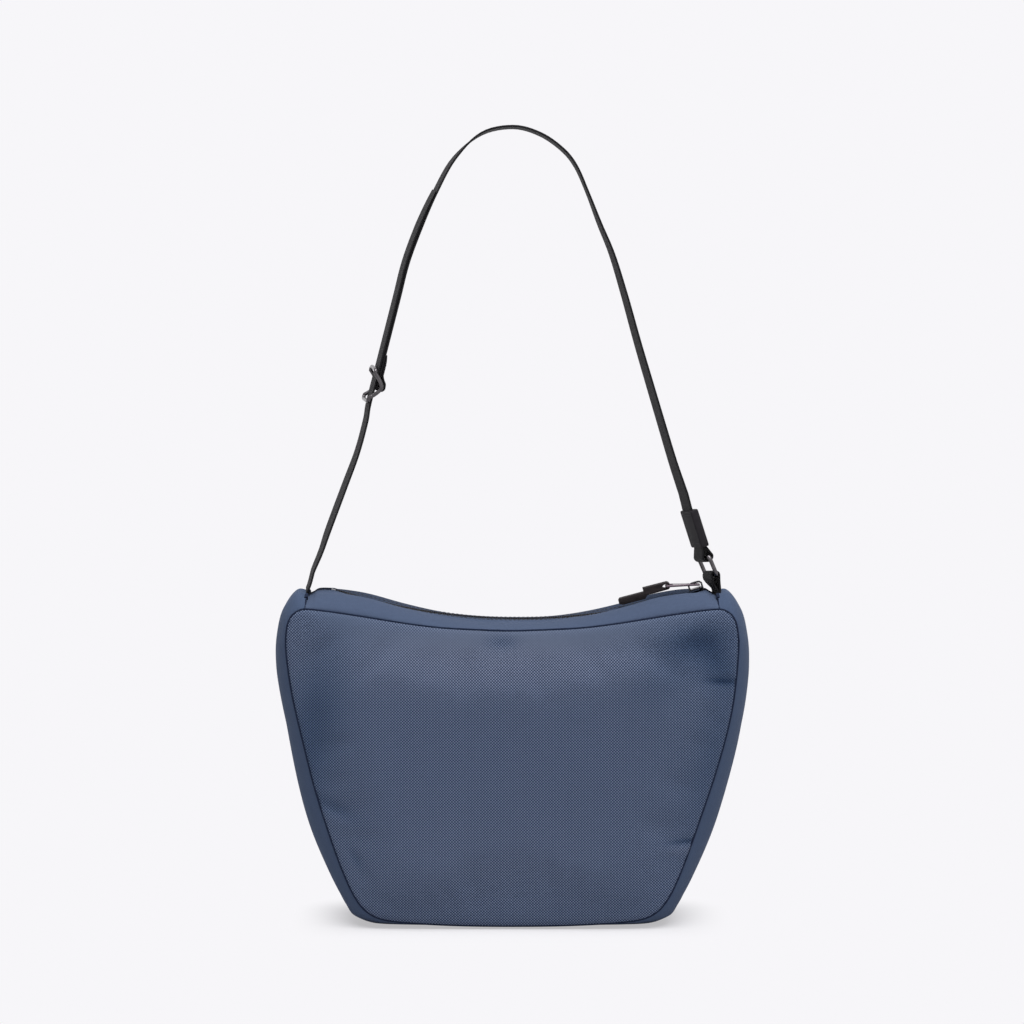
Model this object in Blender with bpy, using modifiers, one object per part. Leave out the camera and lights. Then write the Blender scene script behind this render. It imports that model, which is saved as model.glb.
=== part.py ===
"""Half moon shoulder bag: domed panels, a crowned gusset, a dipping zip mouth and one webbing strap.

Metres, +Z up, +X to the wearer's right in the front view, -Y towards the viewer.
The origin is on the ground under the middle of the bag.
"""

from math import asin, atan2, cos, pi, radians, sin, sqrt

import bmesh
import bpy
from mathutils import Matrix, Vector

MM = 0.001

# Overall sizes of the bag body
BAG_WIDTH = 320 * MM
BAG_HEIGHT = 228 * MM
SEAM_DEPTH = 66 * MM
PANEL_DOME = 9 * MM
HALF_WIDTH = BAG_WIDTH / 2
HALF_DEPTH = SEAM_DEPTH / 2

# Cloth layers, outside to inside
SHELL = 1.2 * MM
PADDING = 2.4 * MM
LINING = 0.6 * MM
CLEARANCE = 0.3 * MM
LINING_INSET = 2.6 * MM

# Half outline of the gusset, bottom middle to end seam: crown point, then the seam point beside it,
# in shares of the half width and the height
GUSSET_SHARES = (
    ((0.000, 0.000), (0.000, 0.028)),
    ((0.270, 0.000), (0.270, 0.029)),
    ((0.520, 0.000), (0.500, 0.034)),
    ((0.655, 0.008), (0.595, 0.046)),
    ((0.713, 0.058), (0.655, 0.088)),
    ((0.787, 0.158), (0.712, 0.172)),
    ((0.872, 0.305), (0.779, 0.305)),
    ((0.940, 0.485), (0.852, 0.470)),
    ((0.985, 0.660), (0.919, 0.665)),
    ((1.000, 0.800), (0.947, 0.820)),
    ((0.990, 0.885), (0.944, 0.895)),
    ((0.965, 0.947), (0.925, 0.932)),
    ((0.915, 0.991), (0.893, 0.950)),
    ((0.866, 0.989), (0.866, 0.954)),
)
SPAN_STEPS = 2

# Top edge of the panels and the crest of the top strips above it, middle to end seam
TOP_X_SHARES = (0.0, 0.15, 0.30, 0.45, 0.60, 0.70, 0.77, 0.8175, 0.840, 0.866)
TOP_SEAM_SHARES = (0.890, 0.893, 0.899, 0.912, 0.929, 0.940, 0.947, 0.951, 0.953, 0.954)
TOP_CREST_SHARES = (0.906, 0.908, 0.9225, 0.9465, 0.976, 0.989, 0.993, 0.9925, 0.984, 0.976)

# Rings of a domed panel, edge to middle, and how sharply it turns at its edge
PANEL_RING_SHARES = (1.0, 0.93, 0.78, 0.45)
LAYER_RING_SHARES = (1.0, 0.93, 0.45)
PANEL_MIDDLE_SHARE = 0.50
DOME_POWER = 4

# Cross sections, in shares of the half depth
GUSSET_DEPTH_SHARES = (1.0, 0.90, 0.68, 0.40, 0.0)
LINING_DEPTH_SHARES = (1.0, 0.68, 0.0)
GUSSET_FLAT_SHARE = 0.40
GUSSET_POWER = 3
TOP_DEPTH_SHARES = (1.0, 0.82, 0.60, 0.38)
TOP_RISE_SHARES = (0.0, 0.60, 0.90, 1.0)

# Where the strap's two ends are caught in the end seams
ROOT_X_SHARE = 0.86625
ROOT_X = HALF_WIDTH * ROOT_X_SHARE
ROOT_DEPTH = 15 * MM
ROOT_ANGLES = (86, 70, 50, 25)
ROOT_LEAN = 4 * MM
ROOT_LEAN_SHARES = (0.0, 0.1, 0.4, 0.9)

# Zip: the slider's place at the closed end, and the arc through it that the slider follows
SLIDER_FROM_ROOT = 12.6 * MM
SLIDER_X = ROOT_X - SLIDER_FROM_ROOT
ZIP_MIDDLE_SHARE = 0.03125
ZIP_ARC_MIDDLE_X = HALF_WIDTH * ZIP_MIDDLE_SHARE
ZIP_DIP = 22 * MM
ZIP_LOW_Z = BAG_HEIGHT - ZIP_DIP
ZIP_RISE = 18.5 * MM
ZIP_ARC_RADIUS = ((SLIDER_X - ZIP_ARC_MIDDLE_X) ** 2 + ZIP_RISE**2) / (2 * ZIP_RISE)

# Zip tape, coil and stop
ZIP_FOLD_HALF = 5.5 * MM
TAPE_HALF = 13 * MM
TAPE_THICK = 0.6 * MM
TAPE_FLAT_HALF = 6.5 * MM
TAPE_BELOW_CREST = 0.3 * MM
TAPE_DROOP = 1 * MM
ARC_TAPE_SHARE = 0.73
CHAIN_SLIT_HALF = 0.7 * MM
COIL_RADIUS = 0.9 * MM
COIL_RIB = 0.25 * MM
COIL_PITCH = 2.6 * MM
COIL_FROM_SLIDER = 8 * MM
COIL_END_X = SLIDER_X - COIL_FROM_SLIDER
STOP_LENGTH = 3 * MM
STOP_HEIGHT = 1.6 * MM

# Slider, puller and pull tab
SLIDER_LENGTH = 10 * MM
SLIDER_NOSE_HALF = 4.2 * MM
SLIDER_TAIL_HALF = 3.4 * MM
SLIDER_PLATE = 0.9 * MM
SLIDER_FIN_HALF = 0.35 * MM
SLIDER_FIN_LENGTH = 3 * MM
CROWN_RISE = 4.4 * MM
CROWN_THICK = 1.2 * MM
CROWN_HALF = 1.1 * MM
CROWN_SHARES = ((1, 0), (1, 0.62), (0.72, 0.93), (0.3, 1), (-0.3, 1), (-0.72, 0.93), (-1, 0.62), (-1, 0))
PIVOT_ALONG = 2.4 * MM
PIVOT_RISE = 1.7 * MM
PULLER_LENGTH = 22 * MM
PULLER_THICK = 1.4 * MM
PULLER_NARROW_HALF = 2.9 * MM
PULLER_WIDE_HALF = 5.4 * MM
PULLER_BAR = 1.5 * MM
PULLER_CROWN_WINDOW = 6.6 * MM
PULLER_CROWN_WINDOW_HALF = 1.7 * MM
PULLER_TAB_WINDOW = 3.6 * MM
PULLER_TAB_WINDOW_HALF = 4.3 * MM
PULLER_DROP = radians(2)
TAB_LENGTH = 34 * MM
TAB_STEP_LENGTH = 16 * MM
TAB_STEP_DROP = 2 * MM
TAB_HALF = 4.0 * MM
TAB_NEAR_THICK = 5.4 * MM
TAB_FAR_THICK = 4.6 * MM
TAB_EYE_RADIUS = 1.5 * MM
TAB_EYE_SHARES = ((0.0, -1.0), (1.1, -0.8), (2.2, 0.0), (1.1, 0.8), (0.0, 1.0))
TAB_NOSE_ANGLES = (110, 140, 170, 190, 220, 250)
TAB_DROP = radians(15)

# Strap webbing
WEBBING_WIDTH = 20 * MM
WEBBING_THICK = 1.3 * MM
WEBBING_HALF = WEBBING_WIDTH / 2
SWING_OVER_BAG = 9.5 * MM
SWING_Z = BAG_HEIGHT + SWING_OVER_BAG
STRAP_TOP_Z = 540 * MM
STRAP_RISE = STRAP_TOP_Z - SWING_Z
LEG_RUN_SHARE = 0.195
LEG_RISE_SHARE = 0.40
LEG_LEAN = atan2(LEG_RUN_SHARE * HALF_WIDTH, LEG_RISE_SHARE * STRAP_RISE)
ADJUSTER_X_SHARE = -0.58
ADJUSTER_X = HALF_WIDTH * ADJUSTER_X_SHARE
ADJUSTER_RISE_SHARE = 0.425
ADJUSTER_Z = SWING_Z + ADJUSTER_RISE_SHARE * STRAP_RISE
LEG_STEPS = (-13 * MM, 12 * MM, 38 * MM, 62 * MM, 86 * MM)
TAIL_END_SHARE = 0.865

# Strap route beside the straight leg: x in shares of the half width, height in shares of the strap's rise
LOWER_LEG_SHARES = (
    (-0.833, 0.012), (-0.806, 0.052), (-0.773, 0.100), (-0.702, 0.200), (-0.649, 0.275), (-0.613, 0.345),
)
ARCH_SHARES = (
    (-0.388, 0.782), (-0.325, 0.857), (-0.246, 0.930), (-0.130, 0.985), (0.005, 1.000), (0.120, 0.984),
    (0.214, 0.950), (0.272, 0.912), (0.322, 0.853), (0.372, 0.785), (0.425, 0.717), (0.478, 0.626),
    (0.534, 0.520), (0.590, 0.420), (0.638, 0.335), (0.683, 0.256), (0.717, 0.202), (0.755, 0.142),
    (0.792, 0.072),
)
TWIST_LEG = radians(10)
TWIST_END = radians(16)

# Adjuster: a wire frame of three bars
WIRE_RADIUS = 1.3 * MM
BAR_SHARE = 0.96
ADJUSTER_LENGTH = 25 * MM
BAR_OFFSET = 3.3 * MM
RAIL_SHARES = (0.5, 0.0, -0.5)
RAIL_POWER = 1.5
SEWN_LENGTH = 17 * MM
LOOP_ANGLES = (160, 195, 225, 250, 270)
LOOP_PATH_SHARES = ((1.1, -0.85), (1.9, -0.3))
LOOP_GAP = 0.5 * MM

# Oblong ring, its loop on the bag and the sewn end of the strap
RING_WIRE = 1.4 * MM
RING_HEIGHT = 14 * MM
RING_FROM_ROOT = 3.4 * MM
RING_X = ROOT_X - RING_FROM_ROOT
RING_SINK = 0.5 * MM
RING_LEAN = radians(-23)
RING_PLAY = 1.3 * MM
WRAP_LENGTH = 26 * MM
WRAP_FROM_RING = 7 * MM
WRAP_HALF = 11.5 * MM
WRAP_WALL = 1.0 * MM

OVERRUN = 5 * MM

FABRIC = (0.078, 0.098, 0.160)
FABRIC_SIDE = (0.060, 0.078, 0.140)
LINING_COLOUR = (0.055, 0.060, 0.075)
FOAM_COLOUR = (0.30, 0.30, 0.31)
BLACK_TAPE = (0.020, 0.020, 0.024)
WEBBING_COLOUR = (0.035, 0.035, 0.040)
GUNMETAL = (0.16, 0.15, 0.16)
TAB_COLOUR = (0.050, 0.044, 0.044)


def clear_scene():
    for obj in list(bpy.data.objects):
        bpy.data.objects.remove(obj)


def new_collection(name):
    collection = bpy.data.collections.new(name)
    bpy.context.scene.collection.children.link(collection)
    return collection


def material(name, colour, roughness, metallic=0.0):
    """One finish, shared by the pieces that are made of it."""
    found = bpy.data.materials.get(name)
    if found:
        return found
    made = bpy.data.materials.new(name)
    made.use_nodes = True
    shader = made.node_tree.nodes["Principled BSDF"]
    shader.inputs["Base Color"].default_value = (*colour, 1)
    shader.inputs["Roughness"].default_value = roughness
    shader.inputs["Metallic"].default_value = metallic
    return made


def add_object(name, mesh, collection, finish=None, smooth=True):
    obj = bpy.data.objects.new(name, mesh)
    collection.objects.link(obj)
    if finish:
        mesh.materials.append(finish)
    if smooth and hasattr(mesh, "shade_smooth"):
        mesh.shade_smooth()
        mesh.set_sharp_from_angle(angle=radians(40))
    return obj


def mesh_from(build):
    """Run a function on an empty bmesh and keep the result with its faces turned outwards."""
    cage = bmesh.new()
    build(cage)
    bmesh.ops.recalc_face_normals(cage, faces=cage.faces)
    mesh = bpy.data.meshes.new("mesh")
    cage.to_mesh(mesh)
    cage.free()
    return mesh


def smooth_through(points, steps):
    """Points of a smooth curve through the given ones, with so many steps from each to the next."""
    ends = [points[0] * 2 - points[1], *points, points[-1] * 2 - points[-2]]
    curve = []
    for a, b, c, d in zip(ends, ends[1:], ends[2:], ends[3:]):
        for step in range(steps):
            t = step / steps
            bend = (2 * a - 5 * b + 4 * c - d) * t**2 + (3 * b - a - 3 * c + d) * t**3
            curve.append((2 * b + (c - a) * t + bend) / 2)
    return [*curve, points[-1].copy()]


def direction_at(points, index):
    return (points[min(index + 1, len(points) - 1)] - points[max(index - 1, 0)]).normalized()


def skin(cage, rows, closed_rows=False):
    """Faces between neighbouring rows of points. Open rows leave a sheet, closed ones a tube."""
    rings = [[cage.verts.new(point) for point in row] for row in rows]
    for first, second in zip(rings, rings[1:]):
        count = len(first)
        for index in range(count if closed_rows else count - 1):
            after = (index + 1) % count
            cage.faces.new((first[index], first[after], second[after], second[index]))
    return rings


def close_band(cage, rows):
    """A tube through the rows with a face on each end."""
    rings = skin(cage, rows, closed_rows=True)
    cage.faces.new(rings[0])
    cage.faces.new(reversed(rings[-1]))


def solid_band(name, rows, collection, finish, smooth=True):
    """A closed solid through matching rings of points."""
    return add_object(name, mesh_from(lambda cage: close_band(cage, rows)), collection, finish, smooth)


def add_thickness(obj, thickness, offset):
    solidify = obj.modifiers.new("thickness", "SOLIDIFY")
    solidify.thickness = thickness
    solidify.offset = offset
    solidify.use_even_offset = True


def cut(obj, cutter, operation="DIFFERENCE"):
    boolean = obj.modifiers.new("cut", "BOOLEAN")
    boolean.operation = operation
    boolean.object = cutter


def joint_axis(name, place, collection):
    """An empty on a joint's axis, which the pieces that move there hang on."""
    pivot = bpy.data.objects.new(name, None)
    pivot.empty_display_size = OVERRUN
    pivot.location = place
    collection.objects.link(pivot)
    return pivot


def hang_on(pivot, pieces):
    bpy.context.view_layer.update()
    for piece in pieces:
        piece.parent = pivot
        piece.matrix_parent_inverse = pivot.matrix_world.inverted()


def helper(obj):
    obj.hide_render = True
    obj.display_type = "WIRE"
    return obj


def box_mesh(low, high):
    def build(cage):
        bmesh.ops.create_cube(cage, size=1)
        for vert in cage.verts:
            vert.co = Vector([(a + b) / 2 + c * (b - a) for a, b, c in zip(low, high, vert.co)])

    return mesh_from(build)


# Outlines of the bag body


def gusset_outline():
    """Crown and seam points of the whole gusset, from the left end seam round the bottom to the right one."""
    crown = [Vector((x * HALF_WIDTH, 0, z * BAG_HEIGHT)) for (x, z), _ in GUSSET_SHARES]
    seam = [Vector((x * HALF_WIDTH, 0, z * BAG_HEIGHT)) for _, (x, z) in GUSSET_SHARES]
    mirror = Matrix.Scale(-1, 3, (1, 0, 0))
    whole = []
    for half in (crown, seam):
        both = [mirror @ point for point in reversed(half[1:])] + half
        whole.append(smooth_through(both, SPAN_STEPS))
    for point in whole[0]:
        point.z = max(point.z, 0)
    return whole


def top_stations():
    """x, seam height and crest height along the mouth, from the left end seam to the right one."""
    half = [
        Vector((x * HALF_WIDTH, seam * BAG_HEIGHT, crest * BAG_HEIGHT))
        for x, seam, crest in zip(TOP_X_SHARES, TOP_SEAM_SHARES, TOP_CREST_SHARES)
    ]
    return [Vector((-x, seam, crest)) for x, seam, crest in reversed(half[1:])] + half


def arc_z(x):
    return ZIP_LOW_Z + ZIP_ARC_RADIUS - sqrt(ZIP_ARC_RADIUS**2 - (x - ZIP_ARC_MIDDLE_X) ** 2)


def tape_z(x, crest):
    """The tape follows the slider's arc, and leaves it only where an end of the mouth turns down."""
    if abs(x) < ARC_TAPE_SHARE * SLIDER_X:
        return arc_z(x)
    return min(arc_z(x), crest - TAPE_BELOW_CREST)


def fold_z(x, crest):
    """The folded edges of the mouth's strips lie just over the tape."""
    return tape_z(x, crest) + 2 * CLEARANCE + SHELL


def panel_outline():
    """The closed seam line of a panel: round the gusset, then back along the mouth."""
    seam = gusset_outline()[1]
    mouth = [Vector((x, 0, height)) for x, height, _ in reversed(top_stations()[1:-1])]
    return seam + mouth


# Bag body


def panel(name, side, ring_shares, depth_in, inset, thickness, collection, finish):
    """A domed sheet inside the seam line, depth_in under the outer face; side is -1 in front and 1 behind."""
    outline = panel_outline()
    middle = Vector((0, 0, PANEL_MIDDLE_SHARE * BAG_HEIGHT))
    edge = []
    for index, point in enumerate(outline):
        along = outline[(index + 1) % len(outline)] - outline[index - 1]
        inward = Vector((-along.z, 0, along.x)).normalized()
        edge.append(point + inward * inset)

    def build(cage):
        rings = []
        for share in ring_shares:
            outwards = HALF_DEPTH + PANEL_DOME * (1 - share**DOME_POWER) - depth_in
            start = edge if share == 1 else outline
            ring = [middle + (point - middle) * share for point in start]
            rings.append([Vector((point.x, side * outwards, point.z)) for point in ring])
        made = skin(cage, rings, closed_rows=True)
        tip = cage.verts.new((0, side * (HALF_DEPTH + PANEL_DOME - depth_in), middle.z))
        last = made[-1]
        for index, vert in enumerate(last):
            cage.faces.new((vert, last[(index + 1) % len(last)], tip))

    mesh = mesh_from(build)
    faces_front = sum(face.normal.y for face in mesh.polygons) < 0
    obj = add_object(name, mesh, collection, finish)
    add_thickness(obj, thickness, -1 if faces_front == (side < 0) else 1)
    return obj


def gusset_rows(depth_shares, reach, sink):
    """Rows of points across the gusset, one for each station; sink moves the surface inwards."""
    crown, seam = gusset_outline()
    shares = [-share for share in depth_shares] + list(reversed(depth_shares[:-1]))
    rows = []
    for index, (high, low) in enumerate(zip(crown, seam)):
        along = direction_at(crown, index)
        inward = Vector((-along.z, 0, along.x))
        row = []
        for share in shares:
            fall = (1 - abs(share) ** GUSSET_POWER) / (1 - GUSSET_FLAT_SHARE**GUSSET_POWER)
            point = low.lerp(high, min(1, fall)) + inward * sink
            row.append(Vector((point.x, share * reach, point.z)))
        rows.append(row)
    return rows


def gusset(name, depth_shares, reach, sink, thickness, collection, finish):
    mesh = mesh_from(lambda cage: skin(cage, gusset_rows(depth_shares, reach, sink)))
    lowest = min(mesh.polygons, key=lambda face: face.center.z)
    obj = add_object(name, mesh, collection, finish)
    add_thickness(obj, thickness, -1 if lowest.normal.z < 0 else 1)
    return obj


def top_strip(name, side, collection, finish):
    """One half of the mouth's top: from the panel's seam over the crest and down to the fold by the zip."""
    edge = HALF_DEPTH - SHELL - CLEARANCE
    end = ROOT_X - CLEARANCE / 2
    rows = []
    for x, seam, crest in top_stations():
        held = max(-end, min(end, x))
        row = [
            Vector((held, side * min(share * HALF_DEPTH, edge), seam + (crest - seam) * rise))
            for share, rise in zip(TOP_DEPTH_SHARES, TOP_RISE_SHARES)
        ]
        rows.append([*row, Vector((held, side * ZIP_FOLD_HALF, fold_z(x, crest)))])
    mesh = mesh_from(lambda cage: skin(cage, rows))
    upwards = sum(face.normal.z for face in mesh.polygons) > 0
    obj = add_object(name, mesh, collection, finish)
    add_thickness(obj, SHELL, -1 if upwards else 1)
    return obj


# Zip


def slider_angle():
    return asin((SLIDER_X - ZIP_ARC_MIDDLE_X) / ZIP_ARC_RADIUS)


def slider_frame():
    """Axes of the slider: x along the tape to the closed end, z away from the bag, on the tape's top face."""
    angle = slider_angle()
    turn = Matrix.Rotation(-angle, 4, "Y")
    return Matrix.Translation((SLIDER_X, 0, arc_z(SLIDER_X))) @ turn


def slider_point(along, rise):
    return slider_frame() @ Vector((along, 0, rise))


def zip_tape(name, side, collection, finish):
    rows = []
    end = ROOT_X - CLEARANCE / 2
    for x, _, crest in top_stations():
        height = tape_z(x, crest)
        sag = TAPE_DROOP + max(0, fold_z(x, crest) - crest)
        held = max(-end, min(end, x))
        edges = ((CHAIN_SLIT_HALF, 0), (TAPE_FLAT_HALF, 0), (TAPE_HALF, sag))
        top = [Vector((held, side * across, height - fall)) for across, fall in edges]
        below = [point - Vector((0, 0, TAPE_THICK)) for point in reversed(top)]
        rows.append(top + below)
    return solid_band(name, rows, collection, finish)


def tape_height(x):
    """Height of the flat-sided tape at x, on the straight run between two stations."""
    stations = top_stations()
    for low, high in zip(stations, stations[1:]):
        if low.x <= x <= high.x:
            share = (x - low.x) / (high.x - low.x)
            return tape_z(low.x, low.z) * (1 - share) + tape_z(high.x, high.z) * share
    return tape_z(stations[-1].x, stations[-1].z)


def zip_coil(name, side, collection, finish):
    """A ribbed bead on the tape's edge; each rib stands for a pair of coil turns."""
    count = round(2 * COIL_END_X / COIL_PITCH)
    across = side * (CHAIN_SLIT_HALF + COIL_RADIUS + COIL_RIB)
    rows = []
    for step in range(2 * count + 1):
        x = -COIL_END_X + step * COIL_PITCH / 2
        radius = COIL_RADIUS + (COIL_RIB if step % 2 else 0)
        middle = Vector((x, across, tape_height(x) + CLEARANCE + COIL_RADIUS + COIL_RIB))
        turns = [radians(90) * quarter for quarter in range(4)]
        rows.append([middle + Vector((0, radius * cos(turn), radius * sin(turn))) for turn in turns])
    return solid_band(name, rows, collection, finish, smooth=False)


def zip_stop(name, x, collection, finish):
    """A small metal stop bridging both tapes past the end of the coils."""
    half = CHAIN_SLIT_HALF + 2 * (COIL_RADIUS + COIL_RIB)
    base = tape_height(x) + CLEARANCE
    rise = (tape_height(x + STOP_LENGTH / 2) - tape_height(x - STOP_LENGTH / 2)) / STOP_LENGTH
    mesh = box_mesh((-STOP_LENGTH / 2, -half, 0), (STOP_LENGTH / 2, half, STOP_HEIGHT))
    for vert in mesh.vertices:
        vert.co.z += rise * vert.co.x
    obj = add_object(name, mesh, collection, finish, smooth=False)
    obj.location = (x, 0, base)
    return obj


def slider_plate(low, high):
    """A plate that narrows from its nose to its tail, in the slider's own axes."""
    half = SLIDER_LENGTH / 2
    corners = (
        (half, -SLIDER_NOSE_HALF), (half, SLIDER_NOSE_HALF), (0, SLIDER_NOSE_HALF),
        (-half, SLIDER_TAIL_HALF), (-half, -SLIDER_TAIL_HALF), (0, -SLIDER_NOSE_HALF),
    )

    def build(cage):
        rings = [[cage.verts.new((x, y, z)) for x, y in corners] for z in (low, high)]
        for index in range(len(corners)):
            after = (index + 1) % len(corners)
            cage.faces.new((rings[0][index], rings[0][after], rings[1][after], rings[1][index]))
        cage.faces.new(rings[0])
        cage.faces.new(rings[1])

    return mesh_from(build)


def slider_heights():
    """Under the tape, then over the coils: the lower and the upper face of each plate."""
    under = -TAPE_THICK - 2 * CLEARANCE
    over = 2 * (COIL_RADIUS + COIL_RIB) + 3 * CLEARANCE
    return under - SLIDER_PLATE, under, over, over + SLIDER_PLATE


def crown_mesh(base):
    """The bridge on top of the slider, an arch that the puller's end bar passes under."""
    foot = base - SLIDER_PLATE / 2
    rise = CROWN_RISE + SLIDER_PLATE / 2
    points = [Vector((x * SLIDER_LENGTH / 2, 0, foot + z * rise)) for x, z in CROWN_SHARES]
    rows = []
    for index, point in enumerate(points):
        along = direction_at(points, index)
        inward = Vector((-along.z, 0, along.x)) * CROWN_THICK
        across = Vector((0, CROWN_HALF, 0))
        rows.append([point - across, point + across, point + inward + across, point + inward - across])

    return mesh_from(lambda cage: close_band(cage, rows))


def zip_slider(collection, cutters, finish):
    low, under, over, high = slider_heights()
    obj = add_object("zip_slider", slider_plate(over, high), collection, finish, smooth=False)
    lower = helper(add_object("slider_lower_plate", slider_plate(low, under), cutters))
    half = SLIDER_LENGTH / 2
    fin_low = (half - SLIDER_FIN_LENGTH, -SLIDER_FIN_HALF, (low + under) / 2)
    fin_high = (half, SLIDER_FIN_HALF, (over + high) / 2)
    fin = helper(add_object("slider_fin", box_mesh(fin_low, fin_high), cutters))
    crown = helper(add_object("slider_crown", crown_mesh(high), cutters))
    for piece in (fin, lower, crown):
        cut(obj, piece, "UNION")
    for piece in (obj, lower, fin, crown):
        piece.matrix_world = slider_frame()
    return obj


def pivot_point():
    """The middle of the puller's end bar, under the slider's bridge."""
    return slider_point(PIVOT_ALONG, slider_heights()[3] + PIVOT_RISE)


def mesh_object(name, curve, collection, finish=None, smooth=True):
    """A curve's shape as a mesh whose caps are joined to its sides."""
    guide = bpy.data.objects.new(name + "_guide", curve)
    collection.objects.link(guide)
    bpy.context.view_layer.update()
    mesh = bpy.data.meshes.new_from_object(guide.evaluated_get(bpy.context.evaluated_depsgraph_get()))
    bpy.data.objects.remove(guide)
    cage = bmesh.new()
    cage.from_mesh(mesh)
    bmesh.ops.remove_doubles(cage, verts=cage.verts, dist=CLEARANCE / 100)
    bmesh.ops.recalc_face_normals(cage, faces=cage.faces)
    cage.to_mesh(mesh)
    cage.free()
    mesh.materials.clear()
    return add_object(name, mesh, collection, finish, smooth)


def flat_outline(name, outlines, thickness, collection, finish):
    """A flat plate: the first outline is its edge and the others are holes."""
    curve = bpy.data.curves.new(name, "CURVE")
    curve.dimensions = "2D"
    curve.fill_mode = "BOTH"
    curve.extrude = thickness / 2
    for outline in outlines:
        spline = curve.splines.new("POLY")
        spline.points.add(len(outline) - 1)
        for point, (x, y) in zip(spline.points, outline):
            point.co = (x, y, 0, 1)
        spline.use_cyclic_u = True
    return mesh_object(name, curve, collection, finish, smooth=False)


def puller_matrix():
    turn = Matrix.Rotation(-PULLER_DROP, 4, "Y") @ Matrix.Rotation(pi, 4, "Z")
    return Matrix.Translation(pivot_point()) @ turn


def tab_point():
    """The middle of the puller's far bar, which the tab hangs on."""
    return puller_matrix() @ Vector((PULLER_LENGTH, 0, 0))


def zip_puller(collection, finish):
    """A plate widening from the bar under the bridge to the bar with the tab, with a window at each."""
    bar = PULLER_BAR / 2
    end = PULLER_LENGTH + bar
    narrow, wide = PULLER_NARROW_HALF, PULLER_WIDE_HALF
    crown_end = bar + PULLER_CROWN_WINDOW
    tab_start = PULLER_LENGTH - bar - PULLER_TAB_WINDOW
    edge = [(-bar, bar - narrow), (0, -narrow), (crown_end, -narrow), (tab_start, -wide)]
    edge += [(end - bar, -wide), (end, bar - wide)]
    edge += [(x, -y) for x, y in reversed(edge)]
    crown_window = [(bar, -PULLER_CROWN_WINDOW_HALF), (crown_end, -PULLER_CROWN_WINDOW_HALF)]
    crown_window += [(x, -y) for x, y in reversed(crown_window)]
    tab_window = [(tab_start, -PULLER_TAB_WINDOW_HALF), (PULLER_LENGTH - bar, -PULLER_TAB_WINDOW_HALF)]
    tab_window += [(x, -y) for x, y in reversed(tab_window)]
    obj = flat_outline("zip_puller", (edge, crown_window, tab_window), PULLER_THICK, collection, finish)
    obj.matrix_world = puller_matrix()
    return obj


def pull_tab(collection, finish):
    """A ribbon folded round the puller's bar: a thick near part with the eye, then a thinner far part."""
    near, far = TAB_NEAR_THICK / 2, TAB_FAR_THICK / 2
    turns = [radians(angle) for angle in TAB_NOSE_ANGLES]
    nose = [(near * cos(turn), near * sin(turn)) for turn in turns]
    floor = -near - TAB_STEP_DROP
    step_top = floor + TAB_FAR_THICK
    edge = nose + [(TAB_STEP_LENGTH - TAB_STEP_DROP, -near), (TAB_STEP_LENGTH, floor)]
    edge += [(TAB_LENGTH - far, floor), (TAB_LENGTH, floor + far / 2)]
    edge += [(TAB_LENGTH, step_top - far / 2), (TAB_LENGTH - far / 2, step_top)]
    edge += [(TAB_STEP_LENGTH, step_top), (TAB_STEP_LENGTH, near)]
    eye = [(TAB_EYE_RADIUS * cos(turn), TAB_EYE_RADIUS * sin(turn)) for turn in turns[1:-1]]
    eye += [(TAB_EYE_RADIUS * x, TAB_EYE_RADIUS * z) for x, z in TAB_EYE_SHARES]
    obj = flat_outline("pull_tab", (edge, eye), 2 * TAB_HALF, collection, finish)
    upright = Matrix.Rotation(pi / 2, 4, "X")
    turn = Matrix.Rotation(-TAB_DROP, 4, "Y") @ Matrix.Rotation(pi, 4, "Z")
    obj.matrix_world = Matrix.Translation(tab_point()) @ turn @ upright
    return obj


# Strap


def leg_direction():
    return Vector((sin(LEG_LEAN), 0, cos(LEG_LEAN)))


def adjuster_place(step=0):
    return Vector((ADJUSTER_X, 0, ADJUSTER_Z)) + leg_direction() * step


def strap_route():
    """The strap's middle line from the left root over the top to the ring, each point with its way across."""

    def place(x_share, rise_share):
        return Vector((x_share * HALF_WIDTH, 0, SWING_Z + rise_share * STRAP_RISE))

    lower = [Vector((ROOT_LEAN - ROOT_X, 0, SWING_Z))] + [place(*row) for row in LOWER_LEG_SHARES]
    leg = [adjuster_place(step) for step in LEG_STEPS]
    arch = [place(*row) for row in ARCH_SHARES]
    half = len(arch) // 2
    twists = [TWIST_LEG * min(1, index / 4) for index in range(len(lower))] + [TWIST_LEG] * len(leg)
    for index in range(len(arch)):
        falling = TWIST_LEG * max(0, 1 - index / 4)
        rising = TWIST_END * max(0, index - half) / (len(arch) - 1 - half)
        twists.append(falling - rising)
    points = smooth_through(lower + leg + arch, SPAN_STEPS)
    values = smooth_through([Vector((twist, 0, 0)) for twist in twists], SPAN_STEPS)
    return [(point, cross_directions(direction_at(points, index), values[index].x)[1])
            for index, point in enumerate(points)]


def cross_directions(along, twist):
    """Directions off the strap's outer face and across its width."""
    outward = Vector((-along.z, 0, along.x))
    depth = Vector((0, 1, 0))
    return outward * cos(twist) - depth * sin(twist), depth * cos(twist) + outward * sin(twist)


def shifted(route, offset):
    """The route moved off its middle line, towards the strap's outer face."""
    points = [point for point, _ in route]
    return [(point + direction_at(points, index).cross(across).normalized() * offset, across)
            for index, (point, across) in enumerate(route)]


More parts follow.
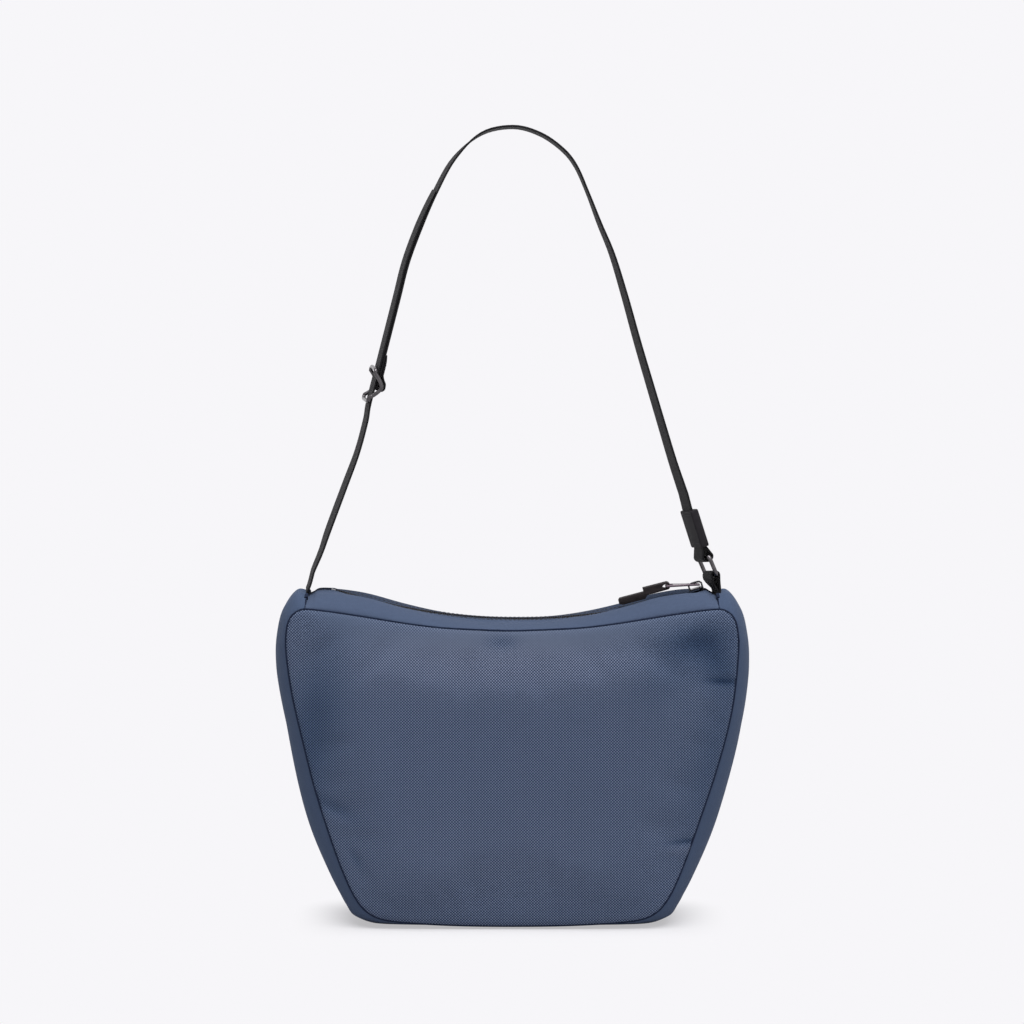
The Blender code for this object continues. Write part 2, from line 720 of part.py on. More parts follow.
def webbing(name, route, collection, finish, rooted=False):
    """Flat webbing along a route. A rooted end is drawn to a half round below the swing axis."""
    thick = WEBBING_THICK / 2
    points = [point for point, _ in route]
    rows = []
    for index, (point, across) in enumerate(route):
        out = direction_at(points, index).cross(across).normalized()
        half = WEBBING_HALF
        if rooted and point.z < SWING_Z:
            half = max(sqrt(max(WEBBING_HALF**2 - (SWING_Z - point.z) ** 2, 0)), thick)
        corners = ((-half, -thick), (half, -thick), (half, thick), (-half, thick))
        rows.append([point + across * wide + out * high for wide, high in corners])
    return solid_band(name, rows, collection, finish, smooth=False)


def root_falls():
    """How far the points of a half round root lie below the swing axis."""
    return [WEBBING_HALF * sin(radians(angle)) for angle in ROOT_ANGLES]


def strap_lower(collection, finish):
    """From the left seam up through the adjuster; its tail lies on the outside of the upper leg."""
    tail_z = SWING_Z + TAIL_END_SHARE * STRAP_RISE
    kept = [(point, across) for point, across in strap_route() if point.x < 0 and point.z < tail_z]
    root = [(Vector((ROOT_LEAN * lean - ROOT_X, 0, SWING_Z - fall)), Vector((0, 1, 0)))
            for lean, fall in zip(ROOT_LEAN_SHARES, root_falls())]
    route = shifted(root + kept, (WEBBING_THICK + CLEARANCE) / 2)
    return webbing("strap_lower", route, collection, finish, rooted=True)


def ring_bars():
    """Middles of the ring's lower and upper bars, and the direction from one to the other."""
    lower = Vector((RING_X, 0, SWING_Z - RING_SINK))
    up = Vector((sin(RING_LEAN), 0, cos(RING_LEAN)))
    return lower, lower + up * RING_HEIGHT, up


def end_direction():
    """From the ring's upper bar up along the sewn end of the strap."""
    low = ARCH_SHARES[-1]
    reached = Vector((low[0] * HALF_WIDTH, 0, SWING_Z + low[1] * STRAP_RISE))
    return (reached - ring_bars()[1]).normalized()


def ring_across():
    return cross_directions(ring_bars()[2], TWIST_END)[1]


def wrap_across():
    """The ring's crosswise direction, squared to the end of the strap."""
    up = end_direction()
    across = ring_across()
    return (across - up * across.dot(up)).normalized()


def fold_round(centre, up, radius, start, stop, count=6):
    """Arc points round a bar, in degrees counted from the side that faces away from the middle of the bag."""
    side = Vector((up.z, 0, -up.x))
    turns = [radians(start + (stop - start) * step / count) for step in range(count + 1)]
    return [centre + side * radius * cos(turn) + up * radius * sin(turn) for turn in turns]


def strap_upper(collection, finish):
    """From the adjuster over the top, down through the wrap, round the ring's upper bar and back up."""
    bar = ring_bars()[1]
    up = end_direction()
    layer = (WEBBING_THICK + CLEARANCE) / 2
    wrap_top = bar + up * (WRAP_FROM_RING + WRAP_LENGTH)
    lowest_left = ADJUSTER_Z + WEBBING_HALF
    lowest_right = wrap_top.z + WEBBING_HALF
    middle = [row for row in strap_route() if row[0].z > (lowest_left if row[0].x < 0 else lowest_right)]
    start = (adjuster_place(-2 * WIRE_RADIUS), cross_directions(leg_direction(), TWIST_LEG)[1])
    level = wrap_across()
    hidden = [(wrap_top, level), (bar + up * WRAP_FROM_RING, level)]
    outer = shifted([start, *middle, *hidden], -layer)
    radius = RING_WIRE + RING_PLAY + WEBBING_THICK / 2
    arc = [(point, ring_across()) for point in fold_round(bar, up, radius, 180, 360)]
    side = up.cross(level).normalized()
    rises = (WRAP_FROM_RING, WRAP_FROM_RING + WRAP_LENGTH / 2)
    back = [(bar + up * rise - side * layer, level) for rise in rises]
    return webbing("strap_upper", outer + arc + back, collection, finish)


def set_axes(along, out, across):
    return Matrix((along, out, across)).transposed().to_4x4()


def adjuster_matrix():
    """Adjuster axes: x up the leg, y off its outer face, z across it."""
    out, across = cross_directions(leg_direction(), TWIST_LEG)
    return Matrix.Translation(adjuster_place()) @ set_axes(leg_direction(), out, across)


def ring_matrix():
    """Ring axes: x from the lower bar to the upper one, y through the ring, z along its bars."""
    lower, _, up = ring_bars()
    out, across = cross_directions(up, TWIST_END)
    return Matrix.Translation(lower) @ set_axes(up, out, across)


def wire(name, points, radius, closed, collection, finish=None):
    """A round wire through points, as a mesh with its seams closed."""
    curve = bpy.data.curves.new(name, "CURVE")
    curve.dimensions = "3D"
    curve.bevel_depth = radius
    curve.bevel_resolution = 2
    curve.use_fill_caps = True
    spline = curve.splines.new("POLY")
    spline.points.add(len(points) - 1)
    for target, point in zip(spline.points, points):
        target.co = (*point, 1)
    spline.use_cyclic_u = closed
    return mesh_object(name, curve, collection, finish)


def oblong(half_length, half_width, corner, steps=3):
    """A round-cornered rectangle as pairs of a place along and a place across."""
    points = []
    for along, across, start in ((1, 1, 0), (-1, 1, 90), (-1, -1, 180), (1, -1, 270)):
        turns = [radians(start + 90 * step / steps) for step in range(steps + 1)]
        for turn in turns:
            points.append((along * (half_length - corner) + corner * cos(turn),
                           across * (half_width - corner) + corner * sin(turn)))
    return points


def adjuster_outline(half_length, half_width, corner):
    """The frame's outline with three more points on each of its two side rails."""
    path = oblong(half_length, half_width, corner)
    quarter = len(path) // 4
    rail = [share * (half_length - corner) for share in RAIL_SHARES]
    near = [(along, half_width) for along in rail]
    far = [(-along, -half_width) for along in rail]
    return path[:quarter] + near + path[quarter : 3 * quarter] + far + path[3 * quarter :]


def adjuster_frame(collection, cutters, finish):
    """A saddle-shaped wire frame: its end bars lie outside the webbing and its middle bar inside it."""
    half_length = ADJUSTER_LENGTH / 2 - WIRE_RADIUS
    half_width = WEBBING_HALF + 2 * CLEARANCE + WIRE_RADIUS
    corner = 2 * WIRE_RADIUS
    points = []
    for along, across in adjuster_outline(half_length, half_width, corner):
        reach = min(1, abs(along) / (half_length - corner))
        points.append(Vector((along, BAR_OFFSET * (2 * reach**RAIL_POWER - 1), across)))
    obj = wire("adjuster_frame", points, WIRE_RADIUS, True, collection, finish)
    ends = [Vector((0, -BAR_OFFSET, side * half_width)) for side in (-1, 1)]
    bar = helper(wire("adjuster_bar", ends, WIRE_RADIUS * BAR_SHARE, False, cutters))
    cut(obj, bar, "UNION")
    for piece in (obj, bar):
        piece.matrix_world = adjuster_matrix()
    return obj


def adjuster_loop(collection, finish):
    """The upper webbing's end: hooked round the middle bar and sewn back on the inside of the leg."""
    reach = WIRE_RADIUS + LOOP_GAP + WEBBING_THICK / 2
    round_bar = [(cos(radians(angle)), sin(radians(angle))) for angle in LOOP_ANGLES]
    path = [Vector((reach * x, reach * y - BAR_OFFSET, 0)) for x, y in (*round_bar, *LOOP_PATH_SHARES)]
    flat = -1.5 * (WEBBING_THICK + CLEARANCE)
    path += [Vector((3 * reach, flat - CLEARANCE, 0)), Vector((4 * reach, flat, 0))]
    path.append(Vector((2 * reach + SEWN_LENGTH, flat, 0)))
    rows = []
    for index, point in enumerate(path):
        along = direction_at(path, index)
        out = Vector((-along.y, along.x, 0)) * (WEBBING_THICK / 2)
        across = Vector((0, 0, WEBBING_HALF))
        rows.append([point - out - across, point - out + across, point + out + across, point + out - across])
    obj = solid_band("adjuster_loop", rows, collection, finish, smooth=False)
    obj.matrix_world = adjuster_matrix()
    return obj


def strap_ring(collection, finish):
    half_width = WEBBING_HALF + 2 * CLEARANCE + RING_WIRE
    path = oblong(RING_HEIGHT / 2, half_width, 2 * RING_WIRE, 4)
    points = [Vector((along + RING_HEIGHT / 2, 0, across)) for along, across in path]
    obj = wire("strap_ring", points, RING_WIRE, True, collection, finish)
    obj.matrix_world = ring_matrix()
    return obj


def ring_loop(collection, finish):
    """The bag's loop: both strands rise from the seam and pass over the ring's lower bar."""
    bar = ring_bars()[0]
    radius = RING_WIRE + LOOP_GAP + WEBBING_THICK / 2
    layer = (WEBBING_THICK + CLEARANCE) / 2
    arc = fold_round(bar, Vector((0, 0, 1)), radius, 180, 0)
    falls = root_falls()
    level = Vector((ring_across().x, ring_across().y, 0)).normalized()
    strands = []
    for near, top in ((-layer, arc[0]), (layer, arc[-1])):
        foot = ROOT_X + near
        strands.append([(Vector((foot + (top.x - foot) * lean, 0, SWING_Z - fall)),
                         Vector((0, 1, 0)).lerp(level, step / (len(falls) - 1)).normalized())
                        for step, (lean, fall) in enumerate(zip(ROOT_LEAN_SHARES, falls))])
    route = strands[0] + [(point, ring_across()) for point in arc] + strands[1][::-1]
    return webbing("ring_loop", route, collection, finish, rooted=True)


def seam_root(name, x, layers, collection, finish):
    """The sewn end of webbing, caught in the seam between gusset and mouth."""
    half = layers * WEBBING_THICK / 2
    top = SWING_Z - WEBBING_HALF - 2 * CLEARANCE
    low = (x - half, -WEBBING_HALF, top - ROOT_DEPTH)
    high = (x + half, WEBBING_HALF, top)
    return add_object(name, box_mesh(low, high), collection, finish, smooth=False)


def strap_end_wrap(collection, finish):
    """A sleeve sewn round both layers of the strap's end."""
    inner = WEBBING_THICK + CLEARANCE * 2
    outer = inner + WRAP_WALL
    inner_half = WEBBING_HALF + CLEARANCE * 1.5

    def rectangle(x, y):
        return [(-x, -y), (x, -y), (x, y), (-x, y)]

    edges = (rectangle(WRAP_HALF, outer), rectangle(inner_half, inner))
    obj = flat_outline("strap_end_wrap", edges, WRAP_LENGTH, collection, finish)
    up = end_direction()
    across = wrap_across()
    place = ring_bars()[1] + up * (WRAP_FROM_RING + WRAP_LENGTH / 2)
    obj.matrix_world = Matrix.Translation(place) @ set_axes(across, up.cross(across), up)
    return obj


def slot_cutter(name, x, layers, cutters):
    """Room in the end seam for the webbing that is caught in it."""
    half = layers * WEBBING_THICK / 2 + CLEARANCE
    low = (x - half, -WEBBING_HALF - CLEARANCE, SWING_Z - WEBBING_HALF - ROOT_DEPTH - OVERRUN)
    high = (x + half, WEBBING_HALF + CLEARANCE, SWING_Z + OVERRUN)
    return helper(add_object(name, box_mesh(low, high), cutters))


def build_body(parts, cutters):
    cloth = material("panel_fabric", FABRIC, 0.75)
    side_cloth = material("gusset_fabric", FABRIC_SIDE, 0.7)
    foam = material("foam", FOAM_COLOUR, 0.9)
    lining = material("lining_fabric", LINING_COLOUR, 0.6)
    tape = material("zip_tape", BLACK_TAPE, 0.8)
    foam_in = SHELL + CLEARANCE
    lining_in = foam_in + PADDING + CLEARANCE
    for side, place in ((-1, "front"), (1, "back")):
        panel(place + "_panel", side, PANEL_RING_SHARES, 0, 0, SHELL, parts, cloth)
        panel(place + "_padding", side, LAYER_RING_SHARES[1:], foam_in, 0, PADDING, parts, foam)
        panel("lining_" + place, side, LAYER_RING_SHARES, lining_in, LINING_INSET, LINING, parts, lining)
    reach = HALF_DEPTH - SHELL - CLEARANCE
    outer = gusset("gusset", GUSSET_DEPTH_SHARES, reach, 0, SHELL, parts, side_cloth)
    lining_reach = HALF_DEPTH - lining_in - LINING - CLEARANCE
    sink = SHELL + 2 * CLEARANCE
    inner = gusset("lining_gusset", LINING_DEPTH_SHARES, lining_reach, sink, LINING, parts, lining)
    sides = ((-1, "front"), (1, "rear"))
    strips = [top_strip("top_panel_" + place, side, parts, side_cloth) for side, place in sides]
    tapes = [zip_tape("zip_tape_" + place, side, parts, tape) for side, place in sides]
    left = slot_cutter("left_slot", -ROOT_X, 1, cutters)
    right = slot_cutter("right_slot", ROOT_X, 2.5, cutters)
    for obj in (outer, inner, *strips, *tapes):
        cut(obj, left)
        cut(obj, right)


def build_zip(parts, cutters):
    black = material("zip_coil", BLACK_TAPE, 0.35)
    metal = material("gunmetal", GUNMETAL, 0.3, 1.0)
    for side, place in ((-1, "front"), (1, "rear")):
        zip_coil("zip_coil_" + place, side, parts, black)
    zip_stop("zip_stop", -COIL_END_X - STOP_LENGTH, parts, metal)
    arc_centre = joint_axis("zip_arc_centre", (ZIP_ARC_MIDDLE_X, 0, ZIP_LOW_Z + ZIP_ARC_RADIUS), parts)
    puller_axis = joint_axis("puller_axis", pivot_point(), parts)
    tab_axis = joint_axis("tab_axis", tab_point(), parts)
    hang_on(arc_centre, [zip_slider(parts, cutters, metal), puller_axis])
    hang_on(puller_axis, [zip_puller(parts, metal), tab_axis])
    hang_on(tab_axis, [pull_tab(parts, material("pull_tab", TAB_COLOUR, 0.6))])


def build_strap(parts, cutters):
    black = material("webbing", WEBBING_COLOUR, 0.7)
    metal = material("gunmetal", GUNMETAL, 0.3, 1.0)
    swing_axis = joint_axis("strap_swing_axis", (0, 0, SWING_Z), parts)
    adjuster_axis = joint_axis("adjuster_axis", adjuster_place(), parts)
    ring_axis = joint_axis("ring_axis", ring_bars()[0], parts)
    webbing_pieces = [make(parts, black) for make in (strap_lower, strap_upper, ring_loop, strap_end_wrap)]
    hang_on(swing_axis, [*webbing_pieces, adjuster_axis, ring_axis])
    hang_on(adjuster_axis, [adjuster_frame(parts, cutters, metal), adjuster_loop(parts, black)])
    hang_on(ring_axis, [strap_ring(parts, metal)])
    seam_root("strap_root_left", -ROOT_X, 1, parts, black)
    seam_root("loop_root_right", ROOT_X, 2.5, parts, black)


def main():
    clear_scene()
    parts = new_collection("half_moon_bag")
    cutters = new_collection("cutters")
    build_body(parts, cutters)
    build_zip(parts, cutters)
    build_strap(parts, cutters)
    bpy.context.view_layer.update()


main()
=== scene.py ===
# %% [markdown]
# # A half moon shoulder bag
#
# The bag is a soft shell with two domed panels, a crowned gusset, a zipped mouth that dips in the middle
# and one webbing strap. The solid model gives the place of every piece. This script dresses it: each cell
# makes one piece or one finish, and says first what it is on the real bag.

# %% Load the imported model
from math import atan2, cos, exp, pi, radians, sin, sqrt

import bmesh
import bpy
import numpy as np
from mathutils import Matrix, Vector


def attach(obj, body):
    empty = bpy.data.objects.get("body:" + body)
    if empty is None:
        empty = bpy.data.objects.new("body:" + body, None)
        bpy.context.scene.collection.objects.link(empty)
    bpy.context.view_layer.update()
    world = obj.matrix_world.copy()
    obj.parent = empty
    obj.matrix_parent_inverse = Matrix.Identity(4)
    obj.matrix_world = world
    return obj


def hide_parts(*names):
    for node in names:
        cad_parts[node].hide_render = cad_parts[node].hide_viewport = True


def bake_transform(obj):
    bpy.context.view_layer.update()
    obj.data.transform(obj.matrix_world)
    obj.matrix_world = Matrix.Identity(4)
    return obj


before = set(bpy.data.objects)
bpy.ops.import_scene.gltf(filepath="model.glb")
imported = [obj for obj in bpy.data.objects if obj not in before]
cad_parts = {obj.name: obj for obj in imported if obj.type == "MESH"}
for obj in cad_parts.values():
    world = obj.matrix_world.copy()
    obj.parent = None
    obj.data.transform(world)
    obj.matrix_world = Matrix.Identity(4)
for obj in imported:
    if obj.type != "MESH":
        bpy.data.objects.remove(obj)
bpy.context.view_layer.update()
MM = 0.001

# %% [markdown]
# ## Camera
#
# The photograph was taken with a long lens from just above the strap's middle, looking a little down. A
# long lens keeps the two ends of the bag the same size. The camera stands at the same place, so the
# outlines can be compared.

# %% Camera
CAMERA_PLACE = (0.0, -2.4, 0.49)
CAMERA_TILT = radians(85)
CAMERA_LENS = 125.1
CAMERA_REACH = 500


def new_object(name, data):
    obj = bpy.data.objects.new(name, data)
    bpy.context.scene.collection.objects.link(obj)
    return obj


lens = bpy.data.cameras.new("photo_camera")
lens.lens = CAMERA_LENS
lens.clip_end = CAMERA_REACH
camera = new_object("photo_camera", lens)
camera.location = CAMERA_PLACE
camera.rotation_euler = (CAMERA_TILT, 0, 0)
bpy.context.scene.camera = camera
print("camera", CAMERA_LENS, "mm")

# %% [markdown]
# ## Building node trees
#
# Every finish is a small network of nodes. A few helpers keep the cells short: `add_node` makes one node
# and fills its sockets with numbers or with the outputs of other nodes, and the others make the kinds that
# come up often.


# %% Node helpers
def add_node(tree, kind, inputs=(), **settings):
    made = tree.nodes.new("ShaderNode" + kind)
    for key, value in settings.items():
        setattr(made, key, value)
    for key, value in dict(inputs).items():
        if isinstance(value, bpy.types.NodeSocket):
            tree.links.new(value, made.inputs[key])
        else:
            made.inputs[key].default_value = value
    return made


def maths(tree, operation, *values):
    return add_node(tree, "Math", enumerate(values), operation=operation).outputs[0]


def multiply(tree, colour, by):
    return add_node(tree, "VectorMath", {0: colour, 1: by}, operation="MULTIPLY").outputs[0]


def blend_colour(tree, share, first, second):
    """The first colour where share is 0 and the second where it is 1."""
    return add_node(tree, "Mix", {0: share, 6: first, 7: second}, data_type="RGBA").outputs[2]


def map_range(tree, value, low, high, to_low=0.0, to_high=1.0):
    inputs = {"Value": value, "From Min": low, "From Max": high, "To Min": to_low, "To Max": to_high}
    return add_node(tree, "MapRange", inputs, interpolation_type="SMOOTHSTEP").outputs[0]


def axes(tree, place):
    return add_node(tree, "SeparateXYZ", {0: place}).outputs


def object_place(tree):
    return add_node(tree, "TexCoord").outputs["Object"]


def cloth_place(tree):
    """The place on the flat cloth, in metres."""
    return add_node(tree, "UVMap", uv_map="cloth").outputs[0]


def noise(tree, scale, detail, **place):
    return add_node(tree, "TexNoise", {"Scale": scale, "Detail": detail, **place}).outputs[0]


def raise_bumps(tree, shader, height, distance, strength=1.0):
    bumps = add_node(tree, "Bump", {"Height": height, "Distance": distance, "Strength": strength})
    tree.links.new(bumps.outputs[0], shader.inputs["Normal"])


# %% [markdown]
# An effect that several materials share is a node group: it is built once, and each material places it with
# its own values. The surface shader itself stays in the material, where its constant values can be set
# directly.


# %% Groups and materials
def new_group(name, inputs, outputs):
    """An empty node group, with the insides of its two ends; inputs and outputs give each socket's kind."""
    group = bpy.data.node_groups.new(name, "ShaderNodeTree")
    for way, sockets in (("INPUT", inputs), ("OUTPUT", outputs)):
        for socket, kind in sockets.items():
            group.interface.new_socket(socket, in_out=way, socket_type="NodeSocket" + kind)
    return group, group.nodes.new("NodeGroupInput").outputs, group.nodes.new("NodeGroupOutput").inputs


def use_group(tree, group, **inputs):
    """A group placed in a material; the name gap_depth feeds its socket Gap depth, and so on."""
    named = {key.replace("_", " ").capitalize(): value for key, value in inputs.items()}
    return add_node(tree, "Group", named, node_tree=group).outputs


def new_material(name, settings):
    """A material and its Principled shader, with constant sockets set directly."""
    made = bpy.data.materials.new(name)
    made.use_nodes = True
    shader = made.node_tree.nodes["Principled BSDF"]
    for socket, value in settings.items():
        shader.inputs[socket].default_value = value
    return made, made.node_tree, shader


# %% [markdown]
# ## Woven cloth
#
# The panels are a coarse plain weave: each thread goes over one crossing thread and under the next, so
# light dots and dark pits stand in a diagonal lattice. The group below works out the height of the higher
# thread at each place; where both threads lie low it gives the gap colour, which paints the shade in the
# pits. The same group, with thinner threads, gives the smoother cloth of the gusset.

# %% Plain weave group
THREAD_ROUNDNESS = 0.6
CROSSING_SOFTNESS = 0.1

weave, feed, out = new_group(
    "plain_weave",
    {"Place": "Vector", "Thread": "Float", "Warp": "Color", "Weft": "Color", "Gap": "Color",
     "Gap depth": "Float"},
    {"Color": "Color", "Height": "Float"},
)
place = axes(weave, feed["Place"])
along, across = [maths(weave, "DIVIDE", place[axis], feed["Thread"]) for axis in (0, 1)]


def thread_height(count_along, run_along, over):
    """One set of threads: count_along numbers them and run_along goes along each; over is 1 or -1."""
    number = maths(weave, "FLOOR", count_along)
    inside = maths(weave, "SUBTRACT", count_along, number)
    arch = maths(weave, "SINE", maths(weave, "MULTIPLY", inside, pi))
    phase = maths(weave, "ADD", maths(weave, "SUBTRACT", run_along, 0.5), number)
    wave = maths(weave, "COSINE", maths(weave, "MULTIPLY", phase, pi))
    rise = maths(weave, "MULTIPLY_ADD", wave, 0.5 * over, 0.5)
    return maths(weave, "MULTIPLY", maths(weave, "POWER", arch, THREAD_ROUNDNESS), rise)


warp_height = thread_height(along, across, 1)
weft_height = thread_height(across, along, -1)
height = maths(weave, "MAXIMUM", warp_height, weft_height)
higher = maths(weave, "SUBTRACT", weft_height, warp_height)
which = map_range(weave, higher, -CROSSING_SOFTNESS, CROSSING_SOFTNESS)
thread_colour = blend_colour(weave, which, feed["Warp"], feed["Weft"])
# Painted shade: where both threads lie low, the colour turns to the gap colour.
covered = map_range(weave, height, 0.0, feed["Gap depth"])
weave.links.new(blend_colour(weave, covered, feed["Gap"], thread_colour), out["Color"])
weave.links.new(height, out["Height"])
print("weave group:", len(weave.nodes), "nodes")

# %% [markdown]
# Cloth that is dyed and handled is never one even tone. This group lightens and darkens a colour by a slow
# cloudy change and a fine mottle, and each material says how strong the two are.

# %% Cloth tone group
TONE_CHANGES = (
    # socket, scale, detail
    ("Cloud", 18.0, 3.0),
    ("Mottle", 420.0, 2.0),
)

tone_group, feed, out = new_group(
    "cloth_tone", {"Color": "Color", "Cloud": "Float", "Mottle": "Float"}, {"Color": "Color"})
spot = object_place(tone_group)
level = 1.0
for socket, scale, detail in TONE_CHANGES:
    change = maths(tone_group, "SUBTRACT", noise(tone_group, scale, detail, Vector=spot), 0.5)
    level = maths(tone_group, "MULTIPLY_ADD", change, feed[socket], level)
tone_group.links.new(multiply(tone_group, feed["Color"], level), out["Color"])
print("tone group:", len(tone_group.nodes), "nodes")

# %% [markdown]
# The light and shade on the panels are painted into their colour: painted light, mostly on the top of the
# panel, which faces the lamp above, and painted shade in its creases, hollows and side edges. The group
# below sums soft oval patches on the flat cloth: lighter ones with a positive amount, darker ones with a
# negative one. The places are in millimetres from the middle of the bag's foot. Painted light turns greyer
# and painted shade bluer, so the three channels change by different powers. A painted sheen on the top of
# the panel fades the weave's colour and bumps.

# %% Painted light and shade patches
# Painted light (positive amounts) and painted shade (negative amounts) on the panels.
PAINTED_LIGHT_PATCHES = (
    # x, z, half length, half width, turn, amount
    (-10, 186, 112, 24, 0, 0.25),
    (122, 196, 24, 11, 8, -0.42),
    (138, 180, 16, 12, -60, -0.33),
    (110, 178, 30, 16, 30, -0.16),
    (-134, 134, 66, 18, 78, -0.30),
    (136, 120, 60, 14, 78, -0.17),
    (142, 169, 11, 2.4, -5, -0.34),
    (-7, 195.5, 11, 5, 0, -0.24),
    (117, 60.5, 11, 1.9, 4, -0.34),
    (117, 54.5, 12, 3.2, 4, 0.12),
    (-118, 83, 15, 5, -28, -0.17),
    (-105, 49, 8, 3, -60, -0.15),
    (-10, 44, 90, 34, 0, 0.07),
)
# Painted light turns greyer and painted shade bluer.
PAINTED_LIGHT_POWERS = (1.5, 1.1, 0.8)
# Painted sheen on the top of the panel; a negative amount takes it away in the dimple.
PAINTED_SHEEN_PATCHES = (
    (-14, 198, 85, 9, 0, 0.9),
    (70, 204, 50, 8, 12, 0.5),
    (-112, 212, 22, 8, -12, 0.8),
    (-7, 195.5, 11, 5, 0, -0.75),
)
MOST_PAINTED_SHEEN = 0.92

# This group paints light, shade and sheen onto the panel cloth.
painted_light_group, feed, out = new_group("painted_light_and_shade", {"Place": "Vector"}, {"Tint": "Vector", "Painted sheen": "Float"})
place = axes(painted_light_group, feed["Place"])


def sum_of_painted_patches(painted_patches, level):
    for x, z, half_long, half_wide, turn, amount in painted_patches:
        x_away = maths(painted_light_group, "SUBTRACT", place[0], x * MM)
        z_away = maths(painted_light_group, "SUBTRACT", place[1], z * MM)
        lean = radians(turn)
        spread = 0.0
        for x_part, z_part, half in ((cos(lean), sin(lean), half_long), (-sin(lean), cos(lean), half_wide)):
            run = maths(painted_light_group, "MULTIPLY", x_away, x_part / (half * MM))
            run = maths(painted_light_group, "MULTIPLY_ADD", z_away, z_part / (half * MM), run)
            spread = maths(painted_light_group, "MULTIPLY_ADD", run, run, spread)
        soft = maths(painted_light_group, "EXPONENT", maths(painted_light_group, "MULTIPLY", spread, -1.0))
        level = maths(painted_light_group, "MULTIPLY_ADD", soft, amount, level)
    return level


painted_light_level = sum_of_painted_patches(PAINTED_LIGHT_PATCHES, 1.0)
channels = {index: maths(painted_light_group, "POWER", painted_light_level, power) for index, power in enumerate(PAINTED_LIGHT_POWERS)}
painted_light_group.links.new(add_node(painted_light_group, "CombineXYZ", channels).outputs[0], out["Tint"])
painted_sheen = maths(painted_light_group, "MINIMUM", sum_of_painted_patches(PAINTED_SHEEN_PATCHES, 0.0), MOST_PAINTED_SHEEN)
painted_light_group.links.new(painted_sheen, out["Painted sheen"])
print("patch group:", len(painted_light_group.nodes), "nodes")

# %% [markdown]
# ## Webbing
#
# Strap webbing is woven in a herringbone: slanting ribs that change direction at each band. Across the
# strap the place runs over 20 mm, along it over the whole length. The group folds the crosswise place into
# a zigzag and draws the ribs from that.

# %% Webbing group
VALLEY_WIDTH = 0.12
VALLEY_LEVEL = 0.4

ribs, feed, out = new_group(
    "webbing_ribs",
    {"Place": "Vector", "Rib": "Float", "Band": "Float", "Light": "Color", "Dark": "Color"},
    {"Color": "Color", "Height": "Float"},
)
place = axes(ribs, feed["Place"])
zigzag = maths(ribs, "PINGPONG", place[1], feed["Band"])
slant = maths(ribs, "DIVIDE", maths(ribs, "ADD", place[0], zigzag), feed["Rib"])
rib = maths(ribs, "SINE", maths(ribs, "MULTIPLY", slant, 2 * pi))
rib = maths(ribs, "MULTIPLY_ADD", rib, 0.5, 0.5)
valley = maths(ribs, "PINGPONG", maths(ribs, "DIVIDE", place[1], feed["Band"]), 0.5)
high = maths(ribs, "MULTIPLY", rib, map_range(ribs, valley, 0.0, VALLEY_WIDTH, VALLEY_LEVEL, 1.0))
ribs.links.new(blend_colour(ribs, high, feed["Dark"], feed["Light"]), out["Color"])
ribs.links.new(high, out["Height"])
print("webbing group:", len(ribs.nodes), "nodes")

# %% [markdown]
# ## Finishes
#
# Each material below takes its colour from a group and lets the same height raise its bumps. Cloth is rough
# with a little sheen. The strips of the mouth lie in the shade of their own crests, so they darken towards
# the zip.

# %% Cloth materials
# Warp, weft and gap colours; a darker gap colour is painted shade in the pits between the threads.
SLATE = ((0.128, 0.162, 0.246, 1), (0.018, 0.031, 0.068, 1), (0.002, 0.005, 0.014, 1))
# The colour of the painted sheen on the top of the panels.
SLATE_PAINTED_SHEEN = (0.066, 0.088, 0.140, 1)
SIDE_SLATE = ((0.055, 0.080, 0.138, 1), (0.042, 0.062, 0.112, 1))
MOUTH_SLATE = ((0.062, 0.085, 0.142, 1), (0.047, 0.066, 0.115, 1))
LINING_GREY = ((0.055, 0.060, 0.075, 1),)
TAPE_BLACK = ((0.030, 0.030, 0.036, 1), (0.020, 0.020, 0.024, 1), (0.010, 0.010, 0.012, 1))
CLOTH_LOOK = {"Roughness": 0.8, "Sheen Weight": 0.03, "Sheen Roughness": 0.5, "Specular IOR Level": 0.08}
CLOTH_CLOUD = 0.10
CLOTH_MOTTLE = 0.12
COARSE_GAP = 0.55
FINE_GAP = 0.40
SHADE_LEVEL = 0.60
SHADE_REACHES = {"front": (6 * MM, 10 * MM), "rear": (15 * MM, 27 * MM)}
PANEL_THREAD = 0.97 * MM
PANEL_RELIEF = 0.22 * MM
SIDE_THREAD = 0.55 * MM
SIDE_RELIEF = 0.06 * MM
TAPE_THREAD = 0.5 * MM
TAPE_RELIEF = 0.05 * MM
LINING_THREAD = 0.3 * MM
LINING_RELIEF = 0.03 * MM


